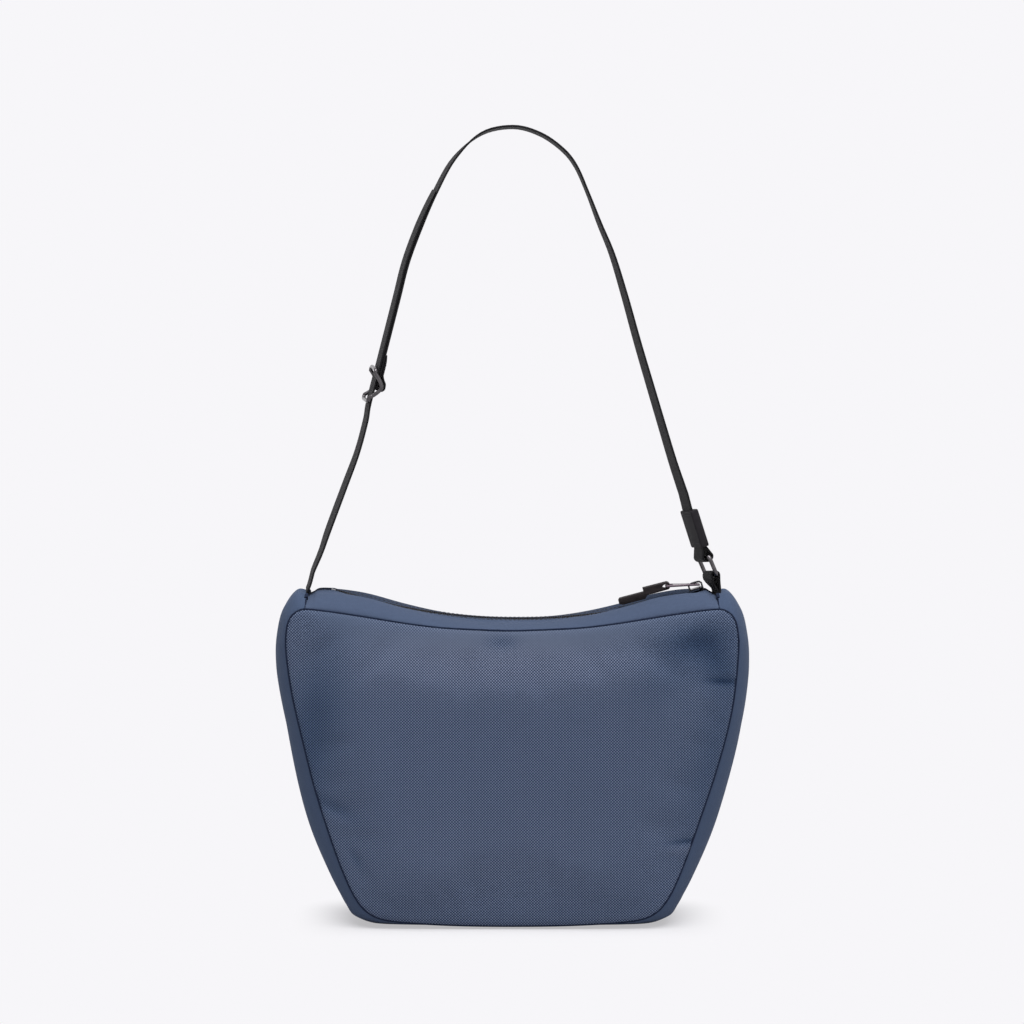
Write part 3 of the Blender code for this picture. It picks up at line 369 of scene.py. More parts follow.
def cloth(name, thread, relief, colours, gap_depth=FINE_GAP, patched=False, shade_reach=None):
    """Woven cloth. The colours are of warp, weft and gaps; the last one given serves for the rest."""
    made, tree, shader = new_material(name, CLOTH_LOOK)
    place = cloth_place(tree)
    warp, weft, gap = (*colours, colours[-1], colours[-1])[:3]
    woven = use_group(tree, weave, place=place, thread=thread, warp=warp, weft=weft, gap=gap,
                      gap_depth=gap_depth)
    colour, strength = woven["Color"], 1.0
    # Painted light and shade on the panels, and a painted sheen that fades the weave on their top.
    if patched:
        painted_patches = use_group(tree, painted_light_group, place=place)
        colour = blend_colour(tree, painted_patches["Painted sheen"], colour, SLATE_PAINTED_SHEEN)
        strength = maths(tree, "SUBTRACT", 1.0, painted_patches["Painted sheen"])
    colour = use_group(tree, tone_group, color=colour, cloud=CLOTH_CLOUD, mottle=CLOTH_MOTTLE)["Color"]
    # The painted light and shade tint the colour.
    if patched:
        colour = multiply(tree, colour, painted_patches["Tint"])
    if shade_reach:
        from_zip = maths(tree, "ABSOLUTE", axes(tree, object_place(tree))[1])
        colour = multiply(tree, colour, map_range(tree, from_zip, *shade_reach, SHADE_LEVEL, 1.0))
    tree.links.new(colour, shader.inputs["Base Color"])
    raise_bumps(tree, shader, woven["Height"], relief, strength)
    return made


panel_cloth = cloth("panel_cloth", PANEL_THREAD, PANEL_RELIEF, SLATE, COARSE_GAP, patched=True)
side_cloth = cloth("side_cloth", SIDE_THREAD, SIDE_RELIEF, SIDE_SLATE)
mouth_cloths = {word: cloth("mouth_cloth_" + word, SIDE_THREAD, SIDE_RELIEF, MOUTH_SLATE, shade_reach=reach)
                for word, reach in SHADE_REACHES.items()}
lining_cloth = cloth("lining_cloth", LINING_THREAD, LINING_RELIEF, LINING_GREY)
tape_cloth = cloth("tape_cloth", TAPE_THREAD, TAPE_RELIEF, TAPE_BLACK)
print(len(bpy.data.materials), "cloths")

# %% [markdown]
# Webbing is black, and the sleeve round the strap's end is a finer tape without a herringbone, so its bands
# are wider than the strap.

# %% Webbing materials
WEBBING_LOOK = {"Roughness": 0.62, "Sheen Weight": 0.01, "Sheen Roughness": 0.4, "Specular IOR Level": 0.08}
WEBBING_TONE = 0.25
WEBBING_RELIEF = 0.12 * MM
WEBBING_RIB = 1.3 * MM
WEBBING_BAND = 3.3 * MM
SLEEVE_RIB = 0.8 * MM
SLEEVE_BAND = 50 * MM


def webbing_finish(name, light, dark, rib, band):
    made, tree, shader = new_material(name, WEBBING_LOOK)
    woven = use_group(tree, ribs, place=cloth_place(tree), rib=rib, band=band, light=light, dark=dark)
    toned = use_group(tree, tone_group, color=woven["Color"], cloud=WEBBING_TONE, mottle=WEBBING_TONE)
    tree.links.new(toned["Color"], shader.inputs["Base Color"])
    raise_bumps(tree, shader, woven["Height"], WEBBING_RELIEF)
    return made


webbing_black = webbing_finish(
    "webbing_black", (0.021, 0.020, 0.022, 1), (0.006, 0.006, 0.007, 1), WEBBING_RIB, WEBBING_BAND)
sleeve_black = webbing_finish(
    "sleeve_black", (0.022, 0.020, 0.024, 1), (0.013, 0.012, 0.014, 1), SLEEVE_RIB, SLEEVE_BAND)
print("webbing ribs", round(WEBBING_RIB / MM, 1), "mm apart")

# %% [markdown]
# The plated hardware is dark and polished, the tab is a matt coated hide, and the coils are nylon. None of
# them is even: a soft noise moves each from its colour to a second one and from smooth to rougher, and a
# fine grain lies over it.

# %% Hardware, nylon and thread
SMOOTH_FINISHES = (
    # name, colour, colour of its patches, least and most roughness, metal or not
    ("gunmetal", (0.075, 0.071, 0.075, 1), (0.120, 0.113, 0.118, 1), 0.16, 0.28, True),
    ("slider_metal", (0.035, 0.034, 0.038, 1), (0.060, 0.057, 0.062, 1), 0.20, 0.32, True),
    ("puller_metal", (0.105, 0.082, 0.098, 1), (0.160, 0.130, 0.150, 1), 0.22, 0.36, True),
    ("tab_hide", (0.016, 0.013, 0.014, 1), (0.026, 0.021, 0.022, 1), 0.60, 0.75, False),
    ("coil_nylon", (0.012, 0.012, 0.015, 1), (0.022, 0.021, 0.025, 1), 0.50, 0.60, False),
    ("thread_black", (0.045, 0.045, 0.050, 1), (0.075, 0.075, 0.080, 1), 0.50, 0.70, False),
    ("seam_shade", (0.007, 0.012, 0.030, 1), (0.012, 0.019, 0.042, 1), 0.85, 0.95, False),
)
METAL_LOOK = {"Metallic": 1.0, "Specular IOR Level": 0.5}
PLAIN_LOOK = {"Metallic": 0.0, "Specular IOR Level": 0.12}
PATCH_NOISE = (260.0, 5.0)
PATCH_RANGE = (0.35, 0.75)
ROUGH_RANGE = (0.3, 0.7)
GRAIN_NOISE = (1500.0, 2.0)
GRAIN_RELIEF = 0.03 * MM
GRAIN_STRENGTH = 0.6


def smooth_finish(name, colour, patch, low, high, metal):
    made, tree, shader = new_material(name, METAL_LOOK if metal else PLAIN_LOOK)
    spot = object_place(tree)
    soft = noise(tree, *PATCH_NOISE, Vector=spot)
    patched = blend_colour(tree, map_range(tree, soft, *PATCH_RANGE), colour, patch)
    tree.links.new(patched, shader.inputs["Base Color"])
    tree.links.new(map_range(tree, soft, *ROUGH_RANGE, low, high), shader.inputs["Roughness"])
    raise_bumps(tree, shader, noise(tree, *GRAIN_NOISE, Vector=spot), GRAIN_RELIEF, GRAIN_STRENGTH)
    return made


finishes = {row[0]: smooth_finish(*row) for row in SMOOTH_FINISHES}
print("finishes:", ", ".join(finishes))

# %% [markdown]
# ## Light and floor
#
# The bag stands on a pale seamless sweep under one broad light high above and a little in front, with a
# weak fill from the front. Rays that show the world itself see the plain backdrop, and all others get a
# weak white sky.

# %% World
BACKDROP = (0.930, 0.922, 0.947, 1)
SKY_LEVEL = 0.20

world = bpy.data.worlds.new("studio")
bpy.context.scene.world = world
world.use_nodes = True
tree = world.node_tree
lighting = tree.nodes["Background"]
lighting.inputs["Color"].default_value = (1, 1, 1, 1)
lighting.inputs["Strength"].default_value = SKY_LEVEL
shown = add_node(tree, "Background", {"Color": BACKDROP, "Strength": 1.0})
path = add_node(tree, "LightPath").outputs
seen = maths(tree, "MAXIMUM", path["Is Camera Ray"], path["Is Transmission Ray"])
seen = maths(tree, "MAXIMUM", seen, path["Is Glossy Ray"])
mixed = add_node(tree, "MixShader", {0: seen, 1: lighting.outputs[0], 2: shown.outputs[0]})
tree.links.new(mixed.outputs[0], tree.nodes["World Output"].inputs["Surface"])
bpy.context.scene.view_settings.view_transform = "Standard"
print("backdrop", BACKDROP[:3])

# %% [markdown]
# Wide suns give the floor the same brightness everywhere, so it meets the backdrop without a line. The cell
# adds up how much light reaches the floor, because the floor's paint depends on it.

# %% Suns
SUNS = (
    # name, direction towards it, strength, angle
    ("top_light", (0.07, -0.30, 0.95), 4.25, 50),
    ("front_light", (0.62, -0.70, 0.35), 0.45, 60),
)

floor_level = SKY_LEVEL
for name, direction, strength, angle in SUNS:
    lamp = bpy.data.lights.new(name, "SUN")
    lamp.energy = strength
    lamp.angle = radians(angle)
    towards = Vector(direction).normalized()
    new_object(name, lamp).rotation_euler = towards.to_track_quat("Z", "Y").to_euler()
    floor_level += strength * towards.z / pi
print("light on the floor:", round(floor_level, 3))

# %% [markdown]
# In the photograph the bag's shadow is faint and stays close to its foot. The floor is painted so that it
# comes out as bright as the backdrop, and the camera sees it as the plain backdrop further out.

# %% Floor
SHADOW_SHARE = 0.50
SHADOW_FOOT = (100 * MM, 34 * MM)
SHADOW_REACH = 52 * MM
FLOOR_REACH = 150
FLOOR_DARKER = 0.996
FLOOR_NOISE = (900.0, 2.0)

floor_paint, tree, shader = new_material("floor_paint", {"Roughness": 1.0, "Specular IOR Level": 0.0})
paint = tuple(value / floor_level for value in BACKDROP[:3])
darker = (*(FLOOR_DARKER * value for value in paint), 1)
grained = blend_colour(tree, noise(tree, *FLOOR_NOISE), darker, (*paint, 1))
tree.links.new(grained, shader.inputs["Base Color"])
plain = add_node(tree, "Emission", {"Color": BACKDROP, "Strength": 1.0})
spot = axes(tree, object_place(tree))
away = [maths(tree, "MAXIMUM", maths(tree, "SUBTRACT", maths(tree, "ABSOLUTE", spot[axis]), half), 0.0)
        for axis, half in enumerate(SHADOW_FOOT)]
square = maths(tree, "MULTIPLY_ADD", away[0], away[0], maths(tree, "MULTIPLY", away[1], away[1]))
shadow = map_range(tree, maths(tree, "SQRT", square), 0.0, SHADOW_REACH, SHADOW_SHARE, 0.0)
camera_ray = add_node(tree, "LightPath").outputs["Is Camera Ray"]
paler = maths(tree, "MULTIPLY", camera_ray, maths(tree, "SUBTRACT", 1.0, shadow))
mixed = add_node(tree, "MixShader", {0: paler, 1: shader.outputs[0], 2: plain.outputs[0]})
tree.links.new(mixed.outputs[0], tree.nodes["Material Output"].inputs["Surface"])

cage = bmesh.new()
bmesh.ops.create_grid(cage, x_segments=1, y_segments=1, size=FLOOR_REACH)
sheet = bpy.data.meshes.new("floor")
cage.to_mesh(sheet)
cage.free()
sheet.materials.append(floor_paint)
new_object("floor", sheet)
print("floor paint:", [round(value, 3) for value in paint])

# %% [markdown]
# ## Shaping tools
#
# Most pieces are skins through rows of points. `skin_piece` makes the faces, writes each point's place on
# the flat cloth into a map called `cloth`, and shades the result smooth. `smooth_through` draws a soft
# curve through a few named points, and `evenly` spaces points along a line.


# %% Curves
TINY = 1e-12


def smooth_through(points, steps):
    ends = [points[0] * 2 - points[1], *points, points[-1] * 2 - points[-2]]
    curve = []
    for a, b, c, d in zip(ends, ends[1:], ends[2:], ends[3:]):
        bend = 2 * a - 5 * b + 4 * c - d
        turn = 3 * b - a - 3 * c + d
        for t in [step / steps for step in range(steps)]:
            curve.append(((2 * b) + (c - a) * t + bend * t**2 + turn * t**3) / 2)
    return [*curve, points[-1].copy()]


def direction_at(points, index):
    return (points[min(index + 1, len(points) - 1)] - points[max(index - 1, 0)]).normalized()


def lengths_along(points):
    steps = [(b - a).length for a, b in zip(points, points[1:])]
    return [0.0, *np.cumsum(steps)]


def at_shares(points, shares):
    """Points at shares of the whole length."""
    marks = np.array(lengths_along(points))
    table = np.array([tuple(point) for point in points])
    wanted = np.array(shares) * marks[-1]
    return [Vector([np.interp(value, marks, table[:, axis]) for axis in range(3)]) for value in wanted]


def evenly(points, spacing):
    count = max(2, round(lengths_along(points)[-1] / spacing))
    return at_shares(points, [index / count for index in range(count + 1)])


# %% [markdown]
# Faces could be typed one by one or pulled from primitive shapes. Rows of points are used here, because
# cloth, webbing and wire are all a section that is carried along something, and the rows give every fold
# its exact place.

# %% Meshes from rows of points
CLOTH_SHARP = 60
ROUND_SHARP = 80


def new_piece(name, mesh, finish):
    if finish is not None:
        mesh.materials.clear()
        mesh.materials.append(finish)
    return new_object(name, mesh)


def shade(mesh, sharp):
    """Smooth, but for the edges where the faces turn by more than the angle."""
    mesh.shade_smooth()
    mesh.set_sharp_from_angle(angle=radians(sharp))


def piece_from(name, cage, finish, sharp):
    mesh = bpy.data.meshes.new(name)
    cage.to_mesh(mesh)
    cage.free()
    shade(mesh, sharp)
    return new_piece(name, mesh, finish)


# %% Skins
def laid_flat(rows, around):
    """Each point's place on the flat cloth: how far it lies along the skin and across it."""
    run = lengths_along([row[len(row) // 2] for row in rows])
    across = [lengths_along([*row, row[0]] if around else row) for row in rows]
    return [[(start, value) for value in reach] for start, reach in zip(run, across)]


def skin_piece(name, rows, finish, flat=None, around=False, ends=False, sharp=CLOTH_SHARP):
    """Faces between rows of points. flat holds their places on the flat cloth; around closes each row."""
    flat = flat or laid_flat(rows, around)
    count = len(rows[0])
    cage = bmesh.new()
    layer = cage.loops.layers.uv.new("cloth")
    verts = [[cage.verts.new(point) for point in row] for row in rows]
    for index in range(len(rows) - 1):
        for turn in range(count if around else count - 1):
            corners = ((index, turn), (index, turn + 1), (index + 1, turn + 1), (index + 1, turn))
            face = cage.faces.new([verts[row][spot % count] for row, spot in corners])
            for loop, (row, spot) in zip(face.loops, corners):
                loop[layer].uv = flat[row][spot]
    if ends:
        cage.faces.new(verts[0])
        cage.faces.new(reversed(verts[-1]))
    bmesh.ops.recalc_face_normals(cage, faces=cage.faces)
    return piece_from(name, cage, finish, sharp)


def join_pieces(name, pieces, finish):
    """One mesh from several, in place."""
    cage = bmesh.new()
    cage.loops.layers.uv.new("cloth")
    for piece in pieces:
        cage.from_mesh(piece.data)
        bpy.data.objects.remove(piece)
    return piece_from(name, cage, finish, CLOTH_SHARP)


# %% [markdown]
# Cloth has a thickness, which a modifier gives to a skin on its inner side. Then each piece is told what
# carries it: `carry` lets it ride on a body and hides the solids that it stands for.


# %% Thickness and carrying
def settle(obj):
    """Write the effect of an object's modifiers into its mesh."""
    bpy.context.view_layer.update()
    finished = bpy.data.meshes.new_from_object(obj.evaluated_get(bpy.context.evaluated_depsgraph_get()))
    obj.modifiers.clear()
    obj.data = finished


def thicken(obj, thickness, outside):
    """Give a skin its thickness; outside is the way that its outermost face looks."""
    outermost = max(obj.data.polygons, key=lambda face: face.center.dot(outside))
    solidify = obj.modifiers.new("thickness", "SOLIDIFY")
    solidify.thickness = thickness
    solidify.offset = -1 if outermost.normal.dot(outside) > 0 else 1
    settle(obj)


def carry(piece, body, slot, *nodes):
    if nodes:
        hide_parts(*nodes)
    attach(piece, body)
    print(piece.name, "rides on the", body + ",", len(piece.data.polygons), "faces")
    return piece


# %% [markdown]
# A wire or a thread is a round section carried along a path. The section is turned from point to point by
# the smallest turn that follows the path, so it never twists. A closed wire ends in its own first ring of
# points.

# %% Tubes
FIRST_WAY = Vector((0.3, 0.5, 0.8))
THREAD_SIDES = 6
CORD_SIDES = 8
WIRE_SIDES = 20


def tube_rows(points, radius, sides):
    turns = [2 * pi * step / sides for step in range(sides)]
    rows = []
    normal = FIRST_WAY.cross(direction_at(points, 0)).cross(direction_at(points, 0)).normalized()
    for index, point in enumerate(points):
        along = direction_at(points, index)
        normal = (normal - along * normal.dot(along)).normalized()
        side = along.cross(normal)
        rows.append([point + normal * radius * cos(turn) + side * radius * sin(turn) for turn in turns])
    return rows


def closed_rows(points, radius, sides):
    rows = tube_rows([points[-1], *points, *points[:2]], radius, sides)[1:-1]
    shift = min(range(sides), key=lambda step: (rows[-1][step] - rows[0][0]).length)
    return [*rows[:-1], [rows[0][(index - shift) % sides] for index in range(sides)]]


def tube(name, points, radius, finish, sides, closed=False):
    rows = (closed_rows if closed else tube_rows)(points, radius, sides)
    return skin_piece(name, rows, finish, around=True, ends=not closed, sharp=ROUND_SHARP)


# %% [markdown]
# ## Outlines of the bag
#
# The bag is drawn from two half outlines, one of the crown that stands out between the panels and one of
# the seam beside it, and from the line of the mouth. They are shares of the half width and the height, as
# in the solid model, and a finer curve through the same points gives the cloth its soft line.

# %% Outlines
HALF_WIDTH = 160 * MM
HEIGHT = 228 * MM
HALF_DEPTH = 33 * MM
DOME = 9 * MM
CROWN_SHARES = (
    (0.000, 0.000), (0.270, 0.000), (0.520, 0.000), (0.655, 0.008), (0.713, 0.058), (0.787, 0.158),
    (0.872, 0.305), (0.940, 0.485), (0.985, 0.660), (1.000, 0.800), (0.990, 0.885), (0.965, 0.947),
    (0.915, 0.991), (0.866, 0.989),
)
SEAM_SHARES = (
    (0.000, 0.010), (0.270, 0.013), (0.500, 0.024), (0.595, 0.044), (0.655, 0.088), (0.712, 0.172),
    (0.779, 0.305), (0.852, 0.470), (0.919, 0.665), (0.947, 0.820), (0.944, 0.895), (0.925, 0.932),
    (0.893, 0.950), (0.866, 0.954),
)
MOUTH_X_SHARES = (0.0, 0.15, 0.30, 0.45, 0.60, 0.70, 0.77, 0.8175, 0.840, 0.866)
MOUTH_SEAM_SHARES = (0.890, 0.893, 0.899, 0.912, 0.929, 0.940, 0.947, 0.951, 0.953, 0.954)
MOUTH_CREST_SHARES = (0.906, 0.908, 0.9225, 0.9465, 0.976, 0.989, 0.993, 0.9925, 0.984, 0.976)
OUTLINE_STEPS = 8
print(len(CROWN_SHARES), "points in each half outline")

# %% [markdown]
# A filled bag isn't quite the drawn one: it hangs a little to one side, its crown is drawn in below the
# ears and the corners of its foot round up. Small smooth shifts of the points do this, so the drawn shares
# stay as they are.

# %% Shifts and whole outlines
SWAY = 1.3 * MM
SWAY_Z = 135 * MM
SWAY_REACH = 40 * MM
CROWN_IN = 1.6 * MM
CROWN_IN_SHARES = (0.02, 0.09, 0.60, 0.76)
CORNER_LIFT = 2.7 * MM
CORNER_X = 107 * MM
CORNER_HALF_WIDTH = 11 * MM
CORNER_HALF_HEIGHT = 16 * MM


def sway(point):
    """The filled body hangs a little to the right at half height."""
    return Vector((SWAY * exp(-(((point.z - SWAY_Z) / SWAY_REACH) ** 2)), 0, 0))


def squeeze(point):
    """The crown is drawn in a little below the ears, and comes back at the foot."""
    share = np.interp(point.z / HEIGHT, CROWN_IN_SHARES, (0, 1, 1, 0))
    return Vector((-CROWN_IN * share * (1 if point.x > 0 else -1), 0, 0))


def corner_lift(point):
    """The two corners of the foot are rounded up off the ground."""
    near = exp(-(((abs(point.x) - CORNER_X) / CORNER_HALF_WIDTH) ** 2) - (point.z / CORNER_HALF_HEIGHT) ** 2)
    return Vector((0, 0, CORNER_LIFT * near))


def whole_outline(shares):
    half = [Vector((x * HALF_WIDTH, 0, z * HEIGHT)) for x, z in shares]
    both = [Vector((-point.x, 0, point.z)) for point in reversed(half[1:])] + half
    return [point + sway(point) for point in smooth_through(both, OUTLINE_STEPS)]


crown_line = [point + squeeze(point) + corner_lift(point) for point in whole_outline(CROWN_SHARES)]
for point in crown_line:
    point.z = max(point.z, 0)
seam_line = whole_outline(SEAM_SHARES)
mouth_seam = whole_outline(list(zip(MOUTH_X_SHARES, MOUTH_SEAM_SHARES)))
mouth_crest = whole_outline(list(zip(MOUTH_X_SHARES, MOUTH_CREST_SHARES)))
panel_edge = seam_line + list(reversed(mouth_seam[1:-1]))
print("seam round a panel:", round(lengths_along([*panel_edge, panel_edge[0]])[-1] / MM), "mm")

# %% [markdown]
# ## Panels
#
# A panel is cloth over thin foam, cut to the seam line and sewn in under some pull, so it stands out in a
# firm dome and rolls in sharply at its seam. The cloth is laid as a grid whose outer rows lie close
# together, for the roll. Then a short cloth simulation with a little spare cloth and air behind it gives
# the dome the slight swells of a filled bag, and last come the few folds that the photograph shows.

# %% Panel grid
PANEL_COLUMNS = 88
PANEL_ROWS = 60
COLUMNS_OVER = 210 * MM
ROWS_OVER = 190 * MM
EDGE_STEPS = (0.0, 0.6 * MM, 1.3 * MM, 2.2 * MM, 3.4 * MM)
LOW_CORNER = (0.655, 0.088)
TOP_CORNER = (0.925, 0.932)


def corner_indices(shares):
    """Where the seam line passes a corner of the panel, on the left and on the right."""
    corners = [Vector((side * shares[0] * HALF_WIDTH, 0, shares[1] * HEIGHT)) for side in (-1, 1)]
    away = [[(point - corner).length for point in seam_line] for corner in corners]
    return [lengths.index(min(lengths)) for lengths in away]


def spaced_shares(count, length):
    """Shares along a side: close rows at both ends, even ones between."""
    near = [step / length for step in EDGE_STEPS]
    start, stop = near[-1], 1 - near[-1]
    inner = [start + (stop - start) * step / count for step in range(1, count)]
    return [*near, *inner, *[1 - share for share in reversed(near)]]


def panel_places():
    """Rows of flat places inside the seam line, blended from its four sides."""
    low_left, low_right = corner_indices(LOW_CORNER)
    top_left, top_right = corner_indices(TOP_CORNER)
    columns = spaced_shares(PANEL_COLUMNS, COLUMNS_OVER)
    rows = spaced_shares(PANEL_ROWS, ROWS_OVER)
    bottom = at_shares(seam_line[low_left : low_right + 1], columns)
    top = at_shares(seam_line[: top_left + 1][::-1] + mouth_seam[1:-1] + seam_line[top_right:][::-1], columns)
    left = at_shares(seam_line[top_left : low_left + 1][::-1], rows)
    right = at_shares(seam_line[low_right : top_right + 1], rows)
    places = []
    for v, near, far in zip(rows, left, right):
        row = []
        for u, low, high in zip(columns, bottom, top):
            corners = (bottom[0] * (1 - u) + bottom[-1] * u) * (1 - v) + (top[0] * (1 - u) + top[-1] * u) * v
            row.append(low * (1 - v) + high * v + near * (1 - u) + far * u - corners)
        places.append(row)
    return places


places = panel_places()
flat_places = np.array([(point.x, point.z) for row in places for point in row])
print("panel grid:", len(places), "rows of", len(places[0]))

# %% [markdown]
# The dome rises fast from the seam and is nearly flat in the middle. How far a place stands out depends on
# its share of the way from the middle of the panel to the seam in that direction. At the seam itself the
# cloth rolls in.

# %% Dome
MIDDLE = Vector((0, 0, HEIGHT / 2))
DOME_POWER = 4
ROLL_WIDTH = 3.6 * MM
ROLL_DEPTH = 2.0 * MM
ROLL_FULLNESS = 0.98


def edge_reach(edge):
    """Distance from the middle to the seam, as a table over the direction."""
    turns = [atan2(point.z - MIDDLE.z, point.x) for point in edge]
    reaches = [(point - MIDDLE).length for point in edge]
    order = np.argsort(turns)
    return np.array(turns)[order], np.array(reaches)[order]


def distance_to_edge(points, edge):
    """How far each flat place lies from the seam line."""
    line = np.array([(point.x, point.z) for point in [*edge, edge[0]]])
    start, step = line[:-1], np.diff(line, axis=0)
    span = (step**2).sum(1)
    nearest = []
    for place in points:
        share = np.clip(((place - start) * step).sum(1) / np.maximum(span, TINY), 0, 1)
        nearest.append(np.sqrt(((start + share[:, None] * step - place) ** 2).sum(1).min()))
    return np.array(nearest)


def edge_roll(distance):
    near = np.clip(1 - distance / ROLL_WIDTH, 0, 1)
    return ROLL_DEPTH * (1 - np.sqrt(1 - near**2 * ROLL_FULLNESS))


edge_distance = distance_to_edge(flat_places, panel_edge)
direction = np.arctan2(flat_places[:, 1] - MIDDLE.z, flat_places[:, 0])
reach = np.hypot(flat_places[:, 0], flat_places[:, 1] - MIDDLE.z)
out_share = np.clip(reach / np.interp(direction, *edge_reach(panel_edge), period=2 * pi), 0, 1)
stand_out = HALF_DEPTH + DOME * (1 - out_share**DOME_POWER)
print("dome stands out", round(float(stand_out.max()) / MM, 1), "mm")

# %% [markdown]
# A sewn panel never lies quite flat: the seam pulls it into short folds at the corners, and the filled bag
# leaves shallow hollows. Each is a soft ridge or valley of its own.

# %% Folds
FOLDS = (
    # x, z, half length, half width, turn, depth of the fold
    (142, 169, 12, 2.4, -5, -1.7),
    (140, 174.5, 11, 4.0, -8, 0.8),
    (122, 194, 20, 11, 10, -1.6),
    (118, 60.5, 13, 2.2, 4, -1.5),
    (116, 55, 14, 3.2, 4, 0.9),
    (-120, 83, 16, 4.0, -28, -1.2),
    (-119, 76, 14, 4.0, -28, 0.5),
    (-105, 49, 9, 3.0, -60, -0.8),
    (-7, 195, 14, 6, -10, -0.8),
    (-36, 180, 22, 12, 24, -0.6),
    (122, 172, 16, 14, 40, -1.3),
    (60, 192, 30, 7, -8, -0.4),
    (-90, 196, 26, 7, 8, -0.4),
)
BACK_FOLD_SHARE = 0.6


def fold_depth(places_flat):
    total = np.zeros(len(places_flat))
    for x, z, long_half, wide_half, turn, depth in FOLDS:
        away = (places_flat - np.array((x, z)) * MM) / MM
        lean = radians(turn)
        run = away[:, 0] * cos(lean) + away[:, 1] * sin(lean)
        side = -away[:, 0] * sin(lean) + away[:, 1] * cos(lean)
        total += depth * MM * np.exp(-((run / long_half) ** 2) - (side / wide_half) ** 2)
    return total


folds = fold_depth(flat_places)
back_folds = BACK_FOLD_SHARE * fold_depth(flat_places * (-1, 1))
print("folds from", round(float(folds.min()) / MM, 1), "to", round(float(folds.max()) / MM, 1), "mm")

# %% [markdown]
# Swells could be painted by hand, but a simulation puts them where spare cloth would gather. It runs on the
# grid alone: its edge is pinned to the seam, the cloth may grow by about one part in a hundred, and a light
# pressure holds it up. What it moves is capped, so the panel keeps its place.

# %% Cloth simulation of a panel
CLOTH_SETTINGS = {
    "vertex_group_mass": "pinned", "use_pressure": True, "uniform_pressure_force": 4.0, "shrink_min": -0.012,
    "tension_stiffness": 25, "bending_stiffness": 1.5, "quality": 5,
}
CLOTH_FRAMES = 20
SWELL_CAP = 2.2 * MM
PIN_WIDTH = 5 * MM
SWELL_FROM_EDGE = 4 * PIN_WIDTH


def panel_rows(side, depths):
    wide = len(places[0])
    rows = []
    for index, row in enumerate(places):
        near = depths[index * wide : (index + 1) * wide]
        rows.append([Vector((point.x, side * depth, point.z)) for point, depth in zip(row, near)])
    return rows


def flat_map(side):
    """Each point's place on the flat cloth, as seen from the panel's own outside."""
    return [[(-side * point.x, point.z) for point in row] for row in places]


def simulated_depths(trial, side):
    """Run the cloth on a trial piece and measure how far its points then stand out."""
    pinned = trial.vertex_groups.new(name="pinned")
    for index, distance in enumerate(edge_distance):
        pinned.add([index], float(max(0, 1 - distance / PIN_WIDTH)), "REPLACE")
    settings = trial.modifiers.new("cloth", "CLOTH").settings
    for key, value in CLOTH_SETTINGS.items():
        setattr(settings, key, value)
    settings.effector_weights.gravity = 0
    for step in range(1, CLOTH_FRAMES + 1):
        bpy.context.scene.frame_set(step)
    shaped = trial.evaluated_get(bpy.context.evaluated_depsgraph_get()).data
    return np.array([vert.co.y for vert in shaped.vertices]) * side


# %% Front and back panel
def simulated_swell(side):
    """How far the cloth simulation moves each point of a panel outwards."""
    trial = skin_piece("cloth_trial", panel_rows(side, stand_out), None, flat=flat_map(side))
    moved = simulated_depths(trial, side) - stand_out
    trial.modifiers.clear()
    bpy.data.objects.remove(trial)
    bpy.context.scene.frame_set(1)
    print("cloth moved by", np.round(np.percentile(moved, (1, 50, 99)) / MM, 2), "mm")
    centred = moved - np.median(moved)
    return SWELL_CAP * np.tanh(centred / SWELL_CAP) * np.clip(edge_distance / SWELL_FROM_EDGE, 0, 1)


def panel(name, side, own_folds, nodes):
    depths = stand_out + simulated_swell(side) - edge_roll(edge_distance)
    depths = np.minimum(depths + own_folds, HALF_DEPTH + DOME)
    obj = skin_piece(name, panel_rows(side, depths), panel_cloth, flat=flat_map(side), sharp=ROUND_SHARP)
    carry(obj, "bag", "panel_fabric", *nodes)


panel("front_panel_cloth", -1, folds, ("front_panel", "front_padding"))
panel("back_panel_cloth", 1, back_folds, ("back_panel", "back_padding"))

# %% [markdown]
# ## Gusset
#
# The gusset is one strip that runs from the left end of the mouth down, under the bag and up again. Between
# the two seams it is crowned. Its rows run across the bag, close together near the seams where the cloth
# rolls in. A band pushed out by a modifier would be crowned evenly, but the real strip is nearly flat in its
# middle and falls away fast at the seams, so each row is worked out.

# %% Gusset
GUSSET_ACROSS = (1.0, 0.985, 0.96, 0.92, 0.86, 0.78, 0.68, 0.55, 0.40, 0.20)
GUSSET_POWER = 3
GUSSET_FLAT = 0.40
GUSSET_EDGE = HALF_DEPTH - 1.2 * MM
GUSSET_TUCK = 1.2 * MM
TUCK_FROM = 0.92
GUSSET_THICK = 1.1 * MM


def crown_share(across):
    """How far the gusset has risen from the seam line to the crown line, at a share of its half width."""
    return min(1, (1 - across**GUSSET_POWER) / (1 - GUSSET_FLAT**GUSSET_POWER))


def gusset_rows():
    shares = [*[-share for share in GUSSET_ACROSS], 0.0, *reversed(GUSSET_ACROSS)]
    rows = []
    for index, (high, low) in enumerate(zip(crown_line, seam_line)):
        along = direction_at(crown_line, index)
        inward = Vector((-along.z, 0, along.x))
        row = []
        for share in shares:
            tuck = GUSSET_TUCK * max(0, (abs(share) - TUCK_FROM) / (1 - TUCK_FROM)) ** 2
            place = low.lerp(high, crown_share(abs(share))) + inward * tuck
            row.append(Vector((place.x, share * GUSSET_EDGE, max(place.z, 0))))
        rows.append(row)
    return rows


gusset = skin_piece("gusset_cloth", gusset_rows(), side_cloth)
thicken(gusset, GUSSET_THICK, Vector((1, 0, 0)))
carry(gusset, "bag", "side_fabric", "gusset")

